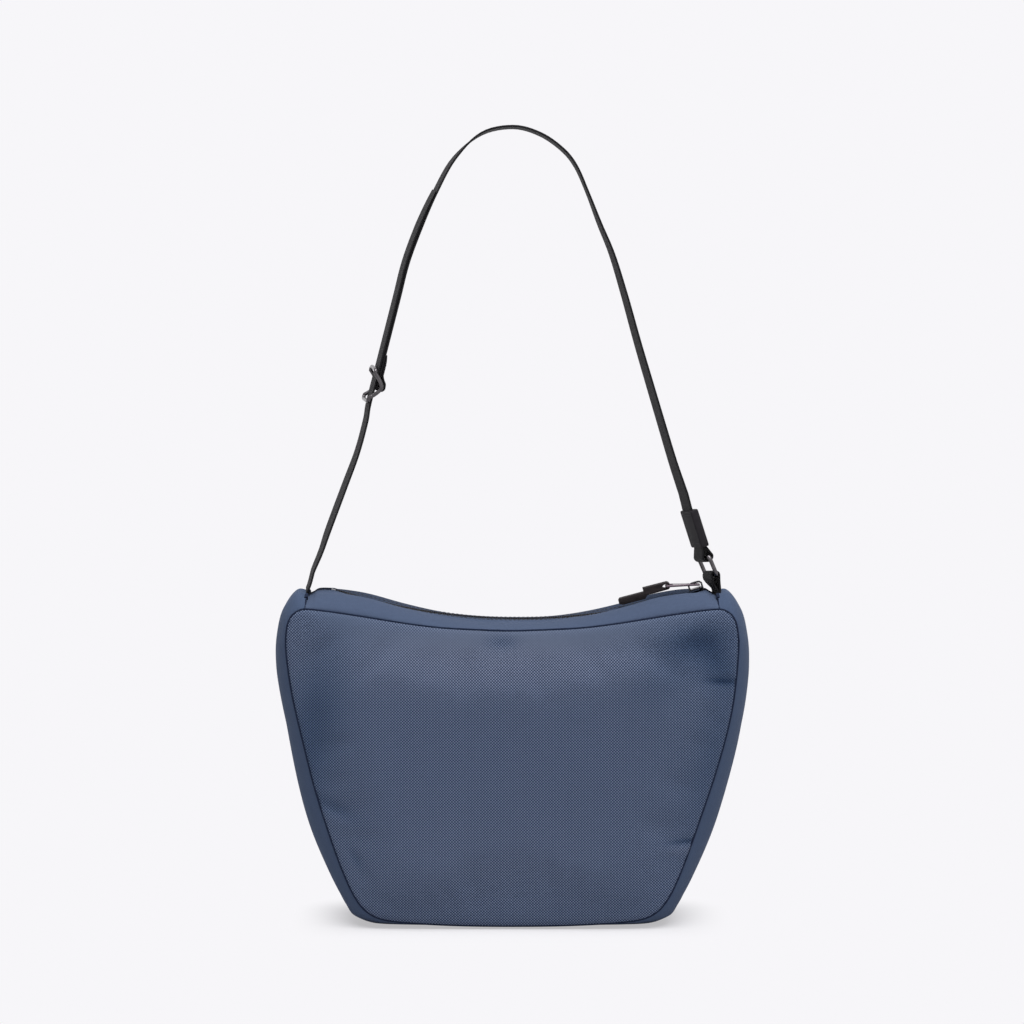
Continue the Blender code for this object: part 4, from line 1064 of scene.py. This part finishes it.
# %% [markdown]
# ## Mouth
#
# Two strips close the top between the panels and the zip. Each rises from the panel's seam over a soft
# crest and turns down to a folded edge beside the zip. The zip dips along an arc, and so do the folds.

# %% Arc of the zip
ARC_MIDDLE_X = 5 * MM
ARC_LOW_Z = 206 * MM
SLIDER_X = 126 * MM
ARC_RISE = 18.5 * MM
ARC_RADIUS = ((SLIDER_X - ARC_MIDDLE_X) ** 2 + ARC_RISE**2) / (2 * ARC_RISE)
ARC_TAPE_SHARE = 0.73
TAPE_BELOW_CREST = 0.3 * MM
ROOT_X = 138.6 * MM
STRIP_END = ROOT_X - 0.15 * MM


def arc_z(x):
    return ARC_LOW_Z + ARC_RADIUS - sqrt(ARC_RADIUS**2 - (x - ARC_MIDDLE_X) ** 2)


def tape_z(x, crest):
    """The tape follows the slider's arc, and leaves it only where an end of the mouth turns down."""
    if abs(x) < ARC_TAPE_SHARE * SLIDER_X:
        return arc_z(x)
    return min(arc_z(x), crest - TAPE_BELOW_CREST)


def mouth_stations():
    """For each row across the mouth its x, and the heights of the seam, the crest and the tape."""
    for seam, crest in zip(mouth_seam, mouth_crest):
        x = max(-STRIP_END, min(STRIP_END, seam.x))
        yield x, seam.z, crest.z, tape_z(x, crest.z)


print("zip arc of", round(ARC_RADIUS / MM), "mm radius")

# %% [markdown]
# The strips are rows of points from the seam to the fold, with a soft curve through each row. A strip that
# is bent by a modifier would keep one section, and here the section changes all along the mouth.

# %% Mouth strips
FOLD_OVER_TAPE = 1.8 * MM
FOLD_HALF = 5.5 * MM
STRIP_THICK = 0.9 * MM
STRIP_STEPS = 3
STRIP_ACROSS = (
    # share of the half depth, share of the rise from the seam to the crest
    (0.955, -0.04), (0.965, 0.10), (0.93, 0.30), (0.86, 0.50), (0.76, 0.70), (0.66, 0.84), (0.56, 0.94),
    (0.46, 0.985), (0.38, 1.0),
)
FOLDED_EDGE = (
    # out from the fold, share of the rise to the crest, drop
    (1.6 * MM, 0.2, 0), (0.4 * MM, 0, 0.1 * MM), (0, 0, 0.6 * MM), (0.5 * MM, 0, 1.2 * MM),
)
SIDES = ((-1, "front"), (1, "rear"))


def mouth_rows(side):
    rows = []
    for x, seam, crest, tape in mouth_stations():
        fold = tape + FOLD_OVER_TAPE
        row = [Vector((x, side * HALF_DEPTH * out, seam + (crest - seam) * rise))
               for out, rise in STRIP_ACROSS]
        row += [Vector((x, side * (FOLD_HALF + out), fold + rise * (crest - fold) - drop))
                for out, rise, drop in FOLDED_EDGE]
        rows.append(smooth_through(row, STRIP_STEPS))
    return rows


for side, word in SIDES:
    strip = skin_piece("mouth_strip_" + word, mouth_rows(side), mouth_cloths[word])
    thicken(strip, STRIP_THICK, Vector((0, 0, 1)))
    carry(strip, "bag", "side_fabric", {"front": "top_panel_front", "rear": "top_panel_rear"}[word])

# %% [markdown]
# ## Seams
#
# Where two cloths are sewn together their edges turn inside, and what shows is a narrow dark groove with
# the thread deep in it. A thin dark cord in each groove draws that line: its colour is the dark thread and
# the groove's painted shade, so the line stays dark also where the light comes from the side.

# %% Seam lines
SEAM_RADIUS = 0.65 * MM
SEAM_SPACING = 3 * MM
SEAM_HALF = HALF_DEPTH - 1.35 * MM


# A dark cord in a seam's groove: the thread with painted shade.
def seam_cord(name, points, radius, closed=False):
    cord = tube(name, points, radius, finishes["seam_shade"], CORD_SIDES, closed)
    carry(cord, "bag", "side_fabric")


edge_line = evenly([*panel_edge, panel_edge[0]], SEAM_SPACING)[:-1]
for side, word in ((-1, "front"), (1, "back")):
    line = [Vector((point.x, side * SEAM_HALF, point.z)) for point in edge_line]
    seam_cord("panel_seam_" + word, line, SEAM_RADIUS, closed=True)

# %% [markdown]
# At each end of the mouth the gusset and the two strips meet in a cross seam, which runs from the webbing
# down to the panel's corner. Where the webbing goes in, the seam gapes a little and lies in shade, and a
# thicker dark cord paints that shade as a dark notch.

# %% End seams
END_SEAM_SHARES = (0.97, 0.93, 0.86, 0.76, 0.64, 0.52, 0.42)
END_SEAM_SINK = 0.25 * MM
END_SEAM_RADIUS = 0.5 * MM
NOTCH_SHADE_RADIUS = 1.3 * MM
NOTCH_SHADE_SPOTS = 3

for end, end_word in ((0, "left"), (-1, "right")):
    high, low = crown_line[end], seam_line[end]
    for side, word in SIDES:
        spots = []
        for share in END_SEAM_SHARES:
            place = low.lerp(high, crown_share(share))
            spots.append(Vector((place.x, side * share * GUSSET_EDGE, place.z - END_SEAM_SINK)))
        words = end_word + "_" + word
        seam_cord("end_seam_" + words, smooth_through(spots, STRIP_STEPS), END_SEAM_RADIUS)
        # A thicker cord of painted shade where the seam gapes round the webbing.
        seam_cord("notch_shade_" + words, smooth_through(spots[-NOTCH_SHADE_SPOTS:], STRIP_STEPS), NOTCH_SHADE_RADIUS)

# %% [markdown]
# ## Lining
#
# Inside, a thin lining follows the panels and the gusset. It is meant to show only through the slit of the
# zip, so it is made from the solid layers, and of the shifts of the outer cloth it repeats only the lift at
# the corners of the foot. At half height of the left end, where the outer cloth is shifted inwards most, the
# lining comes through the gusset.

# %% Lining
LINING_NODES = ("lining_front", "lining_back", "lining_gusset")

shells = [new_piece(node + "_cloth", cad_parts[node].data.copy(), None) for node in LINING_NODES]
lining = join_pieces("lining_bag", shells, lining_cloth)
for vert in lining.data.vertices:
    vert.co += corner_lift(vert.co)
carry(lining, "bag", "lining_fabric", *LINING_NODES)

# %% [markdown]
# ## Stitches
#
# A sewn line is a row of short raised threads with a gap between each two. A bump in the material could
# suggest it, but it would be flat from the side, so every stitch is a small tube whose ends dive into the
# cloth.

# %% Stitches
# pitch, length and radius of a stitch
MOUTH_STITCH = (3.0 * MM, 2.1 * MM, 0.24 * MM)
SLEEVE_STITCH = (2.4 * MM, 1.7 * MM, 0.20 * MM)
LOOP_STITCH = (2.4 * MM, 1.7 * MM, 0.22 * MM)
STITCH_SHARES = (0, 0.2, 0.5, 0.8, 1)
STITCH_LIFTS = (-0.5, 0.5, 0.8, 0.5, -0.5)
STITCH_HALF = FOLD_HALF + 2.6 * MM
STITCH_END_X = 112 * MM


def stitch_row(name, line, out, stitch):
    """Stitches along a line of points; out is the way off the cloth."""
    pitch, length, radius = stitch
    total = lengths_along(line)[-1]
    pieces = []
    for number in range(max(1, int(total / pitch))):
        start = (number + 0.5) * pitch - length / 2
        spots = at_shares(line, [min(1, (start + length * share) / total) for share in STITCH_SHARES])
        path = [spot + out * radius * lift for spot, lift in zip(spots, STITCH_LIFTS)]
        rings = tube_rows(path, radius, THREAD_SIDES)
        pieces.append(skin_piece(name + "_part", rings, None, around=True, ends=True))
    return join_pieces(name, pieces, finishes["thread_black"])


def on_strip(row, half):
    """The point of a strip's row at a distance from the bag's middle plane."""
    for near, far in zip(row, row[1:]):
        if abs(near.y) >= half >= abs(far.y):
            return near.lerp(far, (abs(near.y) - half) / max(abs(near.y) - abs(far.y), TINY))
    return row[-1]


for side, word in SIDES:
    line = [on_strip(row, STITCH_HALF) for row in mouth_rows(side) if abs(row[0].x) < STITCH_END_X]
    carry(stitch_row("mouth_stitches_" + word, line, Vector((0, 0, 1)), MOUTH_STITCH), "bag", "side_fabric")

# %% [markdown]
# ## Zip
#
# Two woven tapes lie under the folds, and on their facing edges sits a nylon coil each: one thin
# monofilament wound flat, turn beside turn, with the turns of one side between those of the other. The coil
# is a helix that is pressed flat and follows the dip.

# %% Zip tapes
TAPE_HALF = 13 * MM
TAPE_FLAT_HALF = 6.5 * MM
TAPE_DROOP = 1.0 * MM
TAPE_SINK = 0.05 * MM
TAPE_THICK = 0.5 * MM
TAPE_COLUMNS = 8
SLIT_HALF = 0.7 * MM


def tape_rows(side):
    across = np.linspace(SLIT_HALF, TAPE_HALF, TAPE_COLUMNS)
    rows = []
    for x, _, crest, top in mouth_stations():
        sag = TAPE_DROOP + max(0, top + FOLD_OVER_TAPE - crest)
        falls = [sag * max(0, (wide - TAPE_FLAT_HALF) / (TAPE_HALF - TAPE_FLAT_HALF)) for wide in across]
        rows.append([Vector((x, side * wide, top - TAPE_SINK - fall)) for wide, fall in zip(across, falls)])
    return rows


for side, word in SIDES:
    tape = skin_piece("zip_tape_cloth_" + word, tape_rows(side), tape_cloth)
    thicken(tape, TAPE_THICK, Vector((0, 0, 1)))
    carry(tape, "bag", "zip_tape", "zip_tape_" + word)

# %% [markdown]
# The coil could be one turn repeated along a curve. Here one long path is worked out turn by turn, because
# it then stays a single thread, as the real coil is.

# %% Zip coils
COIL_END_X = SLIDER_X - 8 * MM
COIL_PITCH = 1.5 * MM
COIL_WIRE = 0.33 * MM
COIL_HALF_WIDE = 1.35 * MM
COIL_HALF_HIGH = 0.62 * MM
COIL_OVER_TAPE = 0.35 * MM
COIL_APART = 0.12 * MM
COIL_TURNS = int(2 * COIL_END_X / COIL_PITCH)
TURN_STEPS = 10


def crest_at(x):
    return float(np.interp(x, [point.x for point in mouth_crest], [point.z for point in mouth_crest]))


def coil_path(side):
    start = -COIL_END_X + (COIL_PITCH / 2 if side > 0 else 0)
    points = []
    for step in range(COIL_TURNS * TURN_STEPS):
        turn = 2 * pi * step / TURN_STEPS
        x = start + COIL_PITCH * step / TURN_STEPS
        base = tape_z(x, crest_at(x)) + COIL_OVER_TAPE + COIL_HALF_HIGH + COIL_WIRE
        across = side * (COIL_HALF_WIDE * (1 + cos(turn)) + COIL_APART)
        points.append(Vector((x, across, base + COIL_HALF_HIGH * sin(turn))))
    return points


for side, word in SIDES:
    name = "zip_coil_" + word
    coil = tube(name + "_wound", coil_path(side), COIL_WIRE, finishes["coil_nylon"], THREAD_SIDES)
    carry(coil, "bag", "zip_coil", name)

# %% [markdown]
# ## Slider, puller and tab
#
# The slider is die-cast: two plates, a fin between them and a bridge, all with soft edges. The solid model
# has the shapes, so a copy of each gets rounded edges and a plated finish. The tab is a stiff folded ribbon
# on the puller.

# %% Hardware of the zip
ZIP_PIECES = (
    # name, solid, rounding of its edges, finish, body, slot
    ("slider_cast", "zip_slider", 0.22 * MM, "slider_metal", "slider", "gunmetal"),
    ("puller_plate", "zip_puller", 0.30 * MM, "puller_metal", "puller", "gunmetal"),
    ("tab_ribbon", "pull_tab", 0.45 * MM, "tab_hide", "tab", "tab_leather"),
    ("stop_clip", "zip_stop", 0.35 * MM, "slider_metal", "bag", "gunmetal"),
)
BEVEL_SETTINGS = {"segments": 3, "limit_method": "ANGLE", "angle_limit": radians(25), "harden_normals": False}
SAME_POINT = 0.01 * MM
FLAT_ANGLE = radians(2)
CAST_SHARP = 40


def rounded_copy(name, node, width, finish):
    piece = new_piece(name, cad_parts[node].data.copy(), finish)
    merged = bmesh.new()
    merged.from_mesh(piece.data)
    bmesh.ops.remove_doubles(merged, verts=merged.verts, dist=SAME_POINT)
    bmesh.ops.dissolve_limit(merged, angle_limit=FLAT_ANGLE, verts=merged.verts, edges=merged.edges)
    merged.to_mesh(piece.data)
    merged.free()
    bevel = piece.modifiers.new("soft_edges", "BEVEL")
    bevel.width = width
    for key, value in BEVEL_SETTINGS.items():
        setattr(bevel, key, value)
    settle(piece)
    shade(piece.data, CAST_SHARP)
    return piece


for name, node, width, finish, body, slot in ZIP_PIECES:
    carry(rounded_copy(name, node, width, finishes[finish]), body, slot, node)

# %% [markdown]
# ## Strap route
#
# The strap leaves the left seam, leans in through the adjuster, turns over the top and comes down to the
# ring. It is seen almost edge on, with a small twist that shows a little of its face. The route repeats the
# solid model's named places, and each point carries the direction across the webbing.

# %% Places of the strap
WEBBING_HALF = 10 * MM
WEBBING_THICK = 1.3 * MM
LAYER_GAP = 0.3 * MM
SWING_Z = 237.5 * MM
STRAP_TOP_Z = 540 * MM
STRAP_RISE = STRAP_TOP_Z - SWING_Z
ADJUSTER_PLACE = Vector((-92.8, 0, 366.0625)) * MM
LEG_LEAN_SHARES = (0.195, 0.40)
LEG_LEAN = atan2(LEG_LEAN_SHARES[0] * HALF_WIDTH, LEG_LEAN_SHARES[1] * STRAP_RISE)
LEG_WAY = Vector((sin(LEG_LEAN), 0, cos(LEG_LEAN)))
LEG_STEPS = (-13 * MM, 12 * MM, 38 * MM, 62 * MM, 86 * MM)
ROOT_LEAN = 4 * MM
ROOT_LEAN_SHARE = 0.95
print("upper leg leans by", round(LEG_LEAN / radians(1), 1), "degrees")

# %% Route of the strap
LOWER_LEG = (
    # share of the half width, share of the strap's rise
    (-0.8356, 0.012), (-0.804, 0.052), (-0.773, 0.100), (-0.702, 0.200), (-0.649, 0.275), (-0.613, 0.345),
)
ARCH = (
    (-0.388, 0.782), (-0.325, 0.857), (-0.246, 0.930), (-0.130, 0.985), (0.005, 1.000), (0.120, 0.984),
    (0.214, 0.950), (0.272, 0.912), (0.322, 0.853), (0.372, 0.785), (0.425, 0.717), (0.478, 0.626),
    (0.534, 0.520), (0.590, 0.420), (0.638, 0.335), (0.683, 0.256), (0.717, 0.202), (0.755, 0.142),
    (0.792, 0.072),
)
LEG_TWIST = 10
END_TWIST = 16
ROOT_TWISTS = (7.5, 7.5, 9, 11, 11, 10, 10)
ARCH_TWISTS = (
    10, 9, 6.5, -2.5, -4, -4.5, -4.5, -4, -3.5, -6, -8, -9.8, -11, -12, -12.5, -13.5, -15, -16, -16,
)
ROUTE_STEPS = 6


def strap_place(x_share, rise_share):
    return Vector((x_share * HALF_WIDTH, 0, SWING_Z + rise_share * STRAP_RISE))


def out_and_across(along, twist):
    """The ways off the face of webbing and across it, where it runs along a way with a twist in degrees."""
    outward = Vector((-along.z, 0, along.x))
    depth = Vector((0, 1, 0))
    turn = radians(twist)
    return outward * cos(turn) - depth * sin(turn), depth * cos(turn) + outward * sin(turn)


def strap_route():
    low = Vector((ROOT_LEAN_SHARE * ROOT_LEAN - ROOT_X, 0, SWING_Z))
    lower, arch = [[strap_place(*row) for row in table] for table in (LOWER_LEG, ARCH)]
    leg = [ADJUSTER_PLACE + LEG_WAY * step for step in LEG_STEPS]
    points = smooth_through([low, *lower, *leg, *arch], ROUTE_STEPS)
    twists = [*ROOT_TWISTS, *[LEG_TWIST] * len(leg), *ARCH_TWISTS]
    twists = smooth_through([Vector((twist, 0, 0)) for twist in twists], ROUTE_STEPS)
    return [(point, out_and_across(direction_at(points, index), twists[index].x)[1])
            for index, point in enumerate(points)]


ROUTE = strap_route()
print("strap:", round(lengths_along([point for point, _ in ROUTE])[-1] / MM), "mm along its middle line")

# %% [markdown]
# Webbing is flat with rounded edges. Its cloth map runs along and across in metres, the same on both faces.
# A sealed end is pressed thin over its last millimetres, towards the face that lies on the other layer. A
# curve with a flat bevel would be shorter to write, but it twists by its own rule, so the section is placed
# point by point along the route's own crosswise directions.

# %% Webbing strips
FACE_SHARES = (-1, -0.6, -0.2, 0.2, 0.6, 1)
WEBBING_SHARP = 70
THIN_SHARE = 0.3
TAIL_THIN = 24 * MM
LOOP_THIN = 5 * MM


def shifted(route, offset):
    """The route moved off the face of the webbing."""
    points = [point for point, _ in route]
    return [(point + direction_at(points, index).cross(across).normalized() * offset, across)
            for index, (point, across) in enumerate(route)]


def smoother(route, steps):
    """More points on a route, with the crosswise direction turned along with them."""
    points = smooth_through([point for point, _ in route], steps)
    ways = smooth_through([across for _, across in route], steps)
    return [(point, way.normalized()) for point, way in zip(points, ways)]


def webbing_section():
    """Places round the section, as pairs of how far across and how far off the middle."""
    low = WEBBING_THICK / 2
    faces = [share * (WEBBING_HALF - low) for share in FACE_SHARES]
    edge = [(WEBBING_HALF - low + low * cos(turn), low * sin(turn)) for turn in (-pi / 4, 0, pi / 4)]
    far_edge = [(-wide, high) for wide, high in reversed(edge)]
    return [(wide, -low) for wide in faces] + edge + [(wide, low) for wide in reversed(faces)] + far_edge


def webbing_strip(name, route, thin_end=0, flat_face=-1):
    section = webbing_section()
    points = [point for point, _ in route]
    run = lengths_along(points)
    rows, flat = [], []
    for index, (point, across) in enumerate(route):
        out = direction_at(points, index).cross(across).normalized()
        share = THIN_SHARE + (1 - THIN_SHARE) * min(1, (run[-1] - run[index]) / thin_end) if thin_end else 1
        middle = point + out * flat_face * (1 - share) * WEBBING_THICK / 2
        rows.append([middle + across * wide + out * high * share for wide, high in section])
        flat.append([(run[index], wide + WEBBING_HALF) for wide, _ in [*section, section[0]]])
    return skin_piece(name, rows, webbing_black, flat=flat, around=True, ends=True, sharp=WEBBING_SHARP)


print("webbing section:", len(webbing_section()), "points")

# %% [markdown]
# The strap's lower part starts deep in the end seam of the bag. Its other end is a tail that lies on the
# outside of the upper leg, sealed thin at its end.

# %% Lower strap
TAIL_RISE_SHARE = 0.865
TAIL_Z = SWING_Z + TAIL_RISE_SHARE * STRAP_RISE
LAYER = (WEBBING_THICK + LAYER_GAP) / 2
ROOT_FALLS = (24 * MM, 18 * MM, 13 * MM, 10 * MM, 7.7 * MM, 4.2 * MM)
ROOT_LEAN_SHARES = (0, 0, 0.05, 0.15, 0.42, 0.68)
ROOT_TWIST_SHARES = (0, 0, 0.35, 0.8, 0.95, 1)

root = [(Vector((ROOT_LEAN * lean - ROOT_X, 0, SWING_Z - fall)),
         out_and_across(Vector((0, 0, 1)), ROOT_TWISTS[0] * share)[1])
        for fall, lean, share in zip(ROOT_FALLS, ROOT_LEAN_SHARES, ROOT_TWIST_SHARES)]
kept = [row for row in ROUTE if row[0].x < 0 and row[0].z < TAIL_Z]
lower = webbing_strip("strap_lower_webbing", shifted(root + kept, LAYER), thin_end=TAIL_THIN)
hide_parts("strap_lower", "strap_root_left")
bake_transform(lower)
print("lower strap:", len(lower.data.polygons), "faces")

# %% [markdown]
# ## Ring and upper strap
#
# The upper webbing comes down through a sewn sleeve, turns round the ring's upper bar and goes back into
# the sleeve, where both layers are sewn together.

# %% Ring places
RING_HEIGHT = 14 * MM
RING_WIRE = 1.4 * MM
RING_LEAN = radians(-23)
RING_LOW = Vector((135.2, 0, 237.0)) * MM
RING_UP = Vector((sin(RING_LEAN), 0, cos(RING_LEAN)))
RING_TOP = RING_LOW + RING_UP * RING_HEIGHT
RING_ACROSS = out_and_across(RING_UP, END_TWIST)[1]
END_WAY = (strap_place(*ARCH[-1]) - RING_TOP).normalized()
END_ACROSS = (RING_ACROSS - END_WAY * RING_ACROSS.dot(END_WAY)).normalized()
END_OUT = END_WAY.cross(END_ACROSS).normalized()
WRAP_FROM_RING = 7 * MM
WRAP_LENGTH = 26 * MM
FOLD_STEPS = 14


def sleeve_place(share):
    return RING_TOP + END_WAY * (WRAP_FROM_RING + WRAP_LENGTH * share)


def fold_round(centre, up, radius, start, stop):
    side = Vector((up.z, 0, -up.x))
    turns = [radians(start + (stop - start) * step / FOLD_STEPS) for step in range(FOLD_STEPS + 1)]
    return [centre + side * radius * cos(turn) + up * radius * sin(turn) for turn in turns]


print("sleeve from", round(sleeve_place(0).z / MM), "to", round(sleeve_place(1).z / MM), "mm high")

# %% [markdown]
# The upper webbing is one route: it starts inside the adjuster, follows the arch, goes straight through the
# sleeve, round the bar in a half circle and back up into the sleeve.

# %% Upper strap
RING_PLAY = 1.3 * MM
START_BELOW = 2.6 * MM

lowest = {False: sleeve_place(1).z + WEBBING_HALF, True: ADJUSTER_PLACE.z + WEBBING_HALF}
middle = [row for row in ROUTE if row[0].z > lowest[row[0].x < 0]]
start = (ADJUSTER_PLACE - LEG_WAY * START_BELOW, out_and_across(LEG_WAY, LEG_TWIST)[1])
hidden = [(sleeve_place(share), END_ACROSS) for share in (1, 0)]
outer = shifted([start, *middle, *hidden], -LAYER)
fold_radius = RING_WIRE + RING_PLAY + WEBBING_THICK / 2
arc = [(point, RING_ACROSS) for point in fold_round(RING_TOP, END_WAY, fold_radius, 180, 360)]
back_up = [(sleeve_place(share) - END_OUT * LAYER, END_ACROSS) for share in (0, 0.5)]
carry(webbing_strip("strap_upper_webbing", outer + arc + back_up), "strap", "webbing", "strap_upper")

# %% [markdown]
# The sleeve is a short length of smooth tape sewn round both layers. It is a tube with an oblong section, a
# little wider than the webbing, with a row of stitches near each end.

# %% Sleeve
WRAP_HALF = 11.5 * MM
WRAP_OUT = 2.9 * MM
WRAP_CORNER = 0.9 * MM
WRAP_SHARP = 50
SLEEVE_ROWS = (
    # share of the length, how far the section is drawn in there
    (0.0, 0.35 * MM), (0.02, 0.08 * MM), (0.06, 0), (0.25, 0), (0.5, 0), (0.75, 0), (0.94, 0),
    (0.98, 0.08 * MM), (1.0, 0.35 * MM),
)
SLEEVE_STITCH_HALF = 9.5 * MM
SLEEVE_STITCH_SHARES = (0.12, 0.88)


def oblong(half_length, half_width, corner, steps=8):
    points = []
    for along_side, across_side, first in ((1, 1, 0), (-1, 1, 90), (-1, -1, 180), (1, -1, 270)):
        for step in range(steps + 1):
            turn = radians(first + 90 * step / steps)
            points.append((along_side * (half_length - corner) + corner * cos(turn),
                           across_side * (half_width - corner) + corner * sin(turn)))
    return points


rows = []
for share, ease in SLEEVE_ROWS:
    section = oblong(WRAP_OUT - ease, WRAP_HALF - ease, WRAP_CORNER, 4)
    rows.append([sleeve_place(share) + END_OUT * out + END_ACROSS * wide for out, wide in section])
sleeve = skin_piece("end_sleeve", rows, sleeve_black, around=True, ends=True, sharp=WRAP_SHARP)
carry(sleeve, "strap", "webbing", "strap_end_wrap")
for way, word in ((-END_OUT, "inner"), (END_OUT, "outer")):
    for share in SLEEVE_STITCH_SHARES:
        place = sleeve_place(share) + way * WRAP_OUT
        line = [place - END_ACROSS * SLEEVE_STITCH_HALF, place + END_ACROSS * SLEEVE_STITCH_HALF]
        name = "sleeve_stitches_%s_%d" % (word, share * 100)
        carry(stitch_row(name, line, way, SLEEVE_STITCH), "strap", "webbing")

# %% [markdown]
# The ring is a bent wire, welded shut, with rounded corners and straight bars for the webbing. It leans
# with the strap's end.

# %% Ring
WIRE_ROOM = 0.6 * MM

ring_path = [RING_LOW + RING_UP * (up + RING_HEIGHT / 2) + RING_ACROSS * wide
             for up, wide in oblong(RING_HEIGHT / 2, WEBBING_HALF + WIRE_ROOM + RING_WIRE, 2 * RING_WIRE)]
ring = tube("ring_wire", ring_path, RING_WIRE, finishes["gunmetal"], WIRE_SIDES, closed=True)
carry(ring, "ring", "gunmetal", "strap_ring")

# %% [markdown]
# The bag's own loop holds the ring's lower bar. Both strands rise from the right end seam, and they bend
# there as the strap's root does.

# %% Bag loop
LOOP_LEAN_SHARES = (0, 0, 0, 0.05, 0.4, 0.9)
BAR_PLAY = 0.5 * MM

arc = fold_round(RING_LOW, Vector((0, 0, 1)), RING_WIRE + BAR_PLAY + WEBBING_THICK / 2, 180, 0)
depth_way = Vector((0, 1, 0))
level_way = Vector((RING_ACROSS.x, RING_ACROSS.y, 0)).normalized()
strands = []
for near, top in ((-LAYER, arc[0]), (LAYER, arc[-1])):
    foot = ROOT_X + near
    strands.append([(Vector((foot + (top.x - foot) * lean, 0, SWING_Z - fall)),
                     depth_way.lerp(level_way, step / (len(ROOT_FALLS) - 1)).normalized())
                    for step, (lean, fall) in enumerate(zip(LOOP_LEAN_SHARES, ROOT_FALLS))])
route = strands[0] + [(point, RING_ACROSS) for point in arc] + strands[1][::-1]
bag_loop = webbing_strip("bag_loop_webbing", smoother(route, 2))
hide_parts("ring_loop", "loop_root_right")
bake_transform(bag_loop)
print("bag loop:", len(bag_loop.data.polygons), "faces")

# %% [markdown]
# ## Adjuster
#
# The adjuster is one bent wire with a bar welded across. Its end bars lie outside the strap and its middle
# bar inside, so pulling the tail makes the strap grip itself. Seen from the side its rails are bent like a
# saddle.

# %% Adjuster frame
WIRE_RADIUS = 1.3 * MM
MIDDLE_BAR_RADIUS = 0.96 * WIRE_RADIUS
BAR_OFFSET = 3.3 * MM
ADJUSTER_HALF = 12.5 * MM - WIRE_RADIUS
RAIL_HALF = ADJUSTER_HALF - 2 * WIRE_RADIUS
RAIL_POWER = 1.5
RAIL_SHARES = np.linspace(0.85, -0.85, 11)
FRAME_HALF = WEBBING_HALF + WIRE_ROOM + WIRE_RADIUS
LEG_OUT, LEG_ACROSS = out_and_across(LEG_WAY, LEG_TWIST)


def adjuster_spot(up, out, wide):
    return ADJUSTER_PLACE + LEG_WAY * up + LEG_OUT * out + LEG_ACROSS * wide


def saddle(up):
    return BAR_OFFSET * (2 * min(1, abs(up) / RAIL_HALF) ** RAIL_POWER - 1)


def frame_path():
    """The rounded corners of the frame with a bent rail between each two on the long sides."""
    corners = oblong(ADJUSTER_HALF, FRAME_HALF, 2 * WIRE_RADIUS, 6)
    quarter = len(corners) // 4
    rail = [share * RAIL_HALF for share in RAIL_SHARES]
    flat = corners[:quarter] + [(up, FRAME_HALF) for up in rail] + corners[quarter : 3 * quarter]
    flat += [(-up, -FRAME_HALF) for up in rail] + corners[3 * quarter :]
    return [adjuster_spot(up, saddle(up), wide) for up, wide in flat]


wire = tube("adjuster_wire", frame_path(), WIRE_RADIUS, finishes["gunmetal"], WIRE_SIDES, closed=True)
carry(wire, "adjuster", "gunmetal", "adjuster_frame")
bar_line = [adjuster_spot(0, -BAR_OFFSET, wide) for wide in (-FRAME_HALF, 0, FRAME_HALF)]
bar = tube("adjuster_middle_bar", bar_line, MIDDLE_BAR_RADIUS, finishes["gunmetal"], WIRE_SIDES)
carry(bar, "adjuster", "gunmetal")

# %% [markdown]
# The upper webbing ends here: it goes round the middle bar and is sewn back on itself with two short rows
# of stitches.

# %% Sewn loop on the middle bar
LOOP_TURNS = (160, 180, 200, 220, 240, 257, 270)
LOOP_LEAVES_SHARES = ((1.1, -0.85), (1.9, -0.3))
LOOP_LIES_SHARES = (3, 4)
LOOP_LAYERS = 1.5
LOOP_END = 17 * MM
LOOP_STITCH_SPAN = (9 * MM, 17 * MM)
LOOP_STITCH_HALF = 7.5 * MM

reach = WIRE_RADIUS + BAR_PLAY + WEBBING_THICK / 2
flat_out = -LOOP_LAYERS * (WEBBING_THICK + LAYER_GAP)
spots = [(reach * cos(radians(turn)), reach * sin(radians(turn)) - BAR_OFFSET) for turn in LOOP_TURNS]
spots += [(up * reach, out * reach - BAR_OFFSET) for up, out in LOOP_LEAVES_SHARES]
spots += [(up * reach, flat_out - gap) for up, gap in zip(LOOP_LIES_SHARES, (LAYER_GAP, 0))]
spots.append((2 * reach + LOOP_END, flat_out))
loop_route = [(adjuster_spot(up, out, 0), LEG_ACROSS) for up, out in spots]
sewn_loop = webbing_strip("adjuster_loop_webbing", smoother(loop_route, 3), thin_end=LOOP_THIN, flat_face=1)
carry(sewn_loop, "adjuster", "webbing", "adjuster_loop")
for wide, word in ((-LOOP_STITCH_HALF, "near"), (LOOP_STITCH_HALF, "far")):
    line = [adjuster_spot(up, flat_out - WEBBING_THICK / 2, wide) for up in LOOP_STITCH_SPAN]
    carry(stitch_row("loop_stitches_" + word, line, -LEG_OUT, LOOP_STITCH), "adjuster", "webbing")
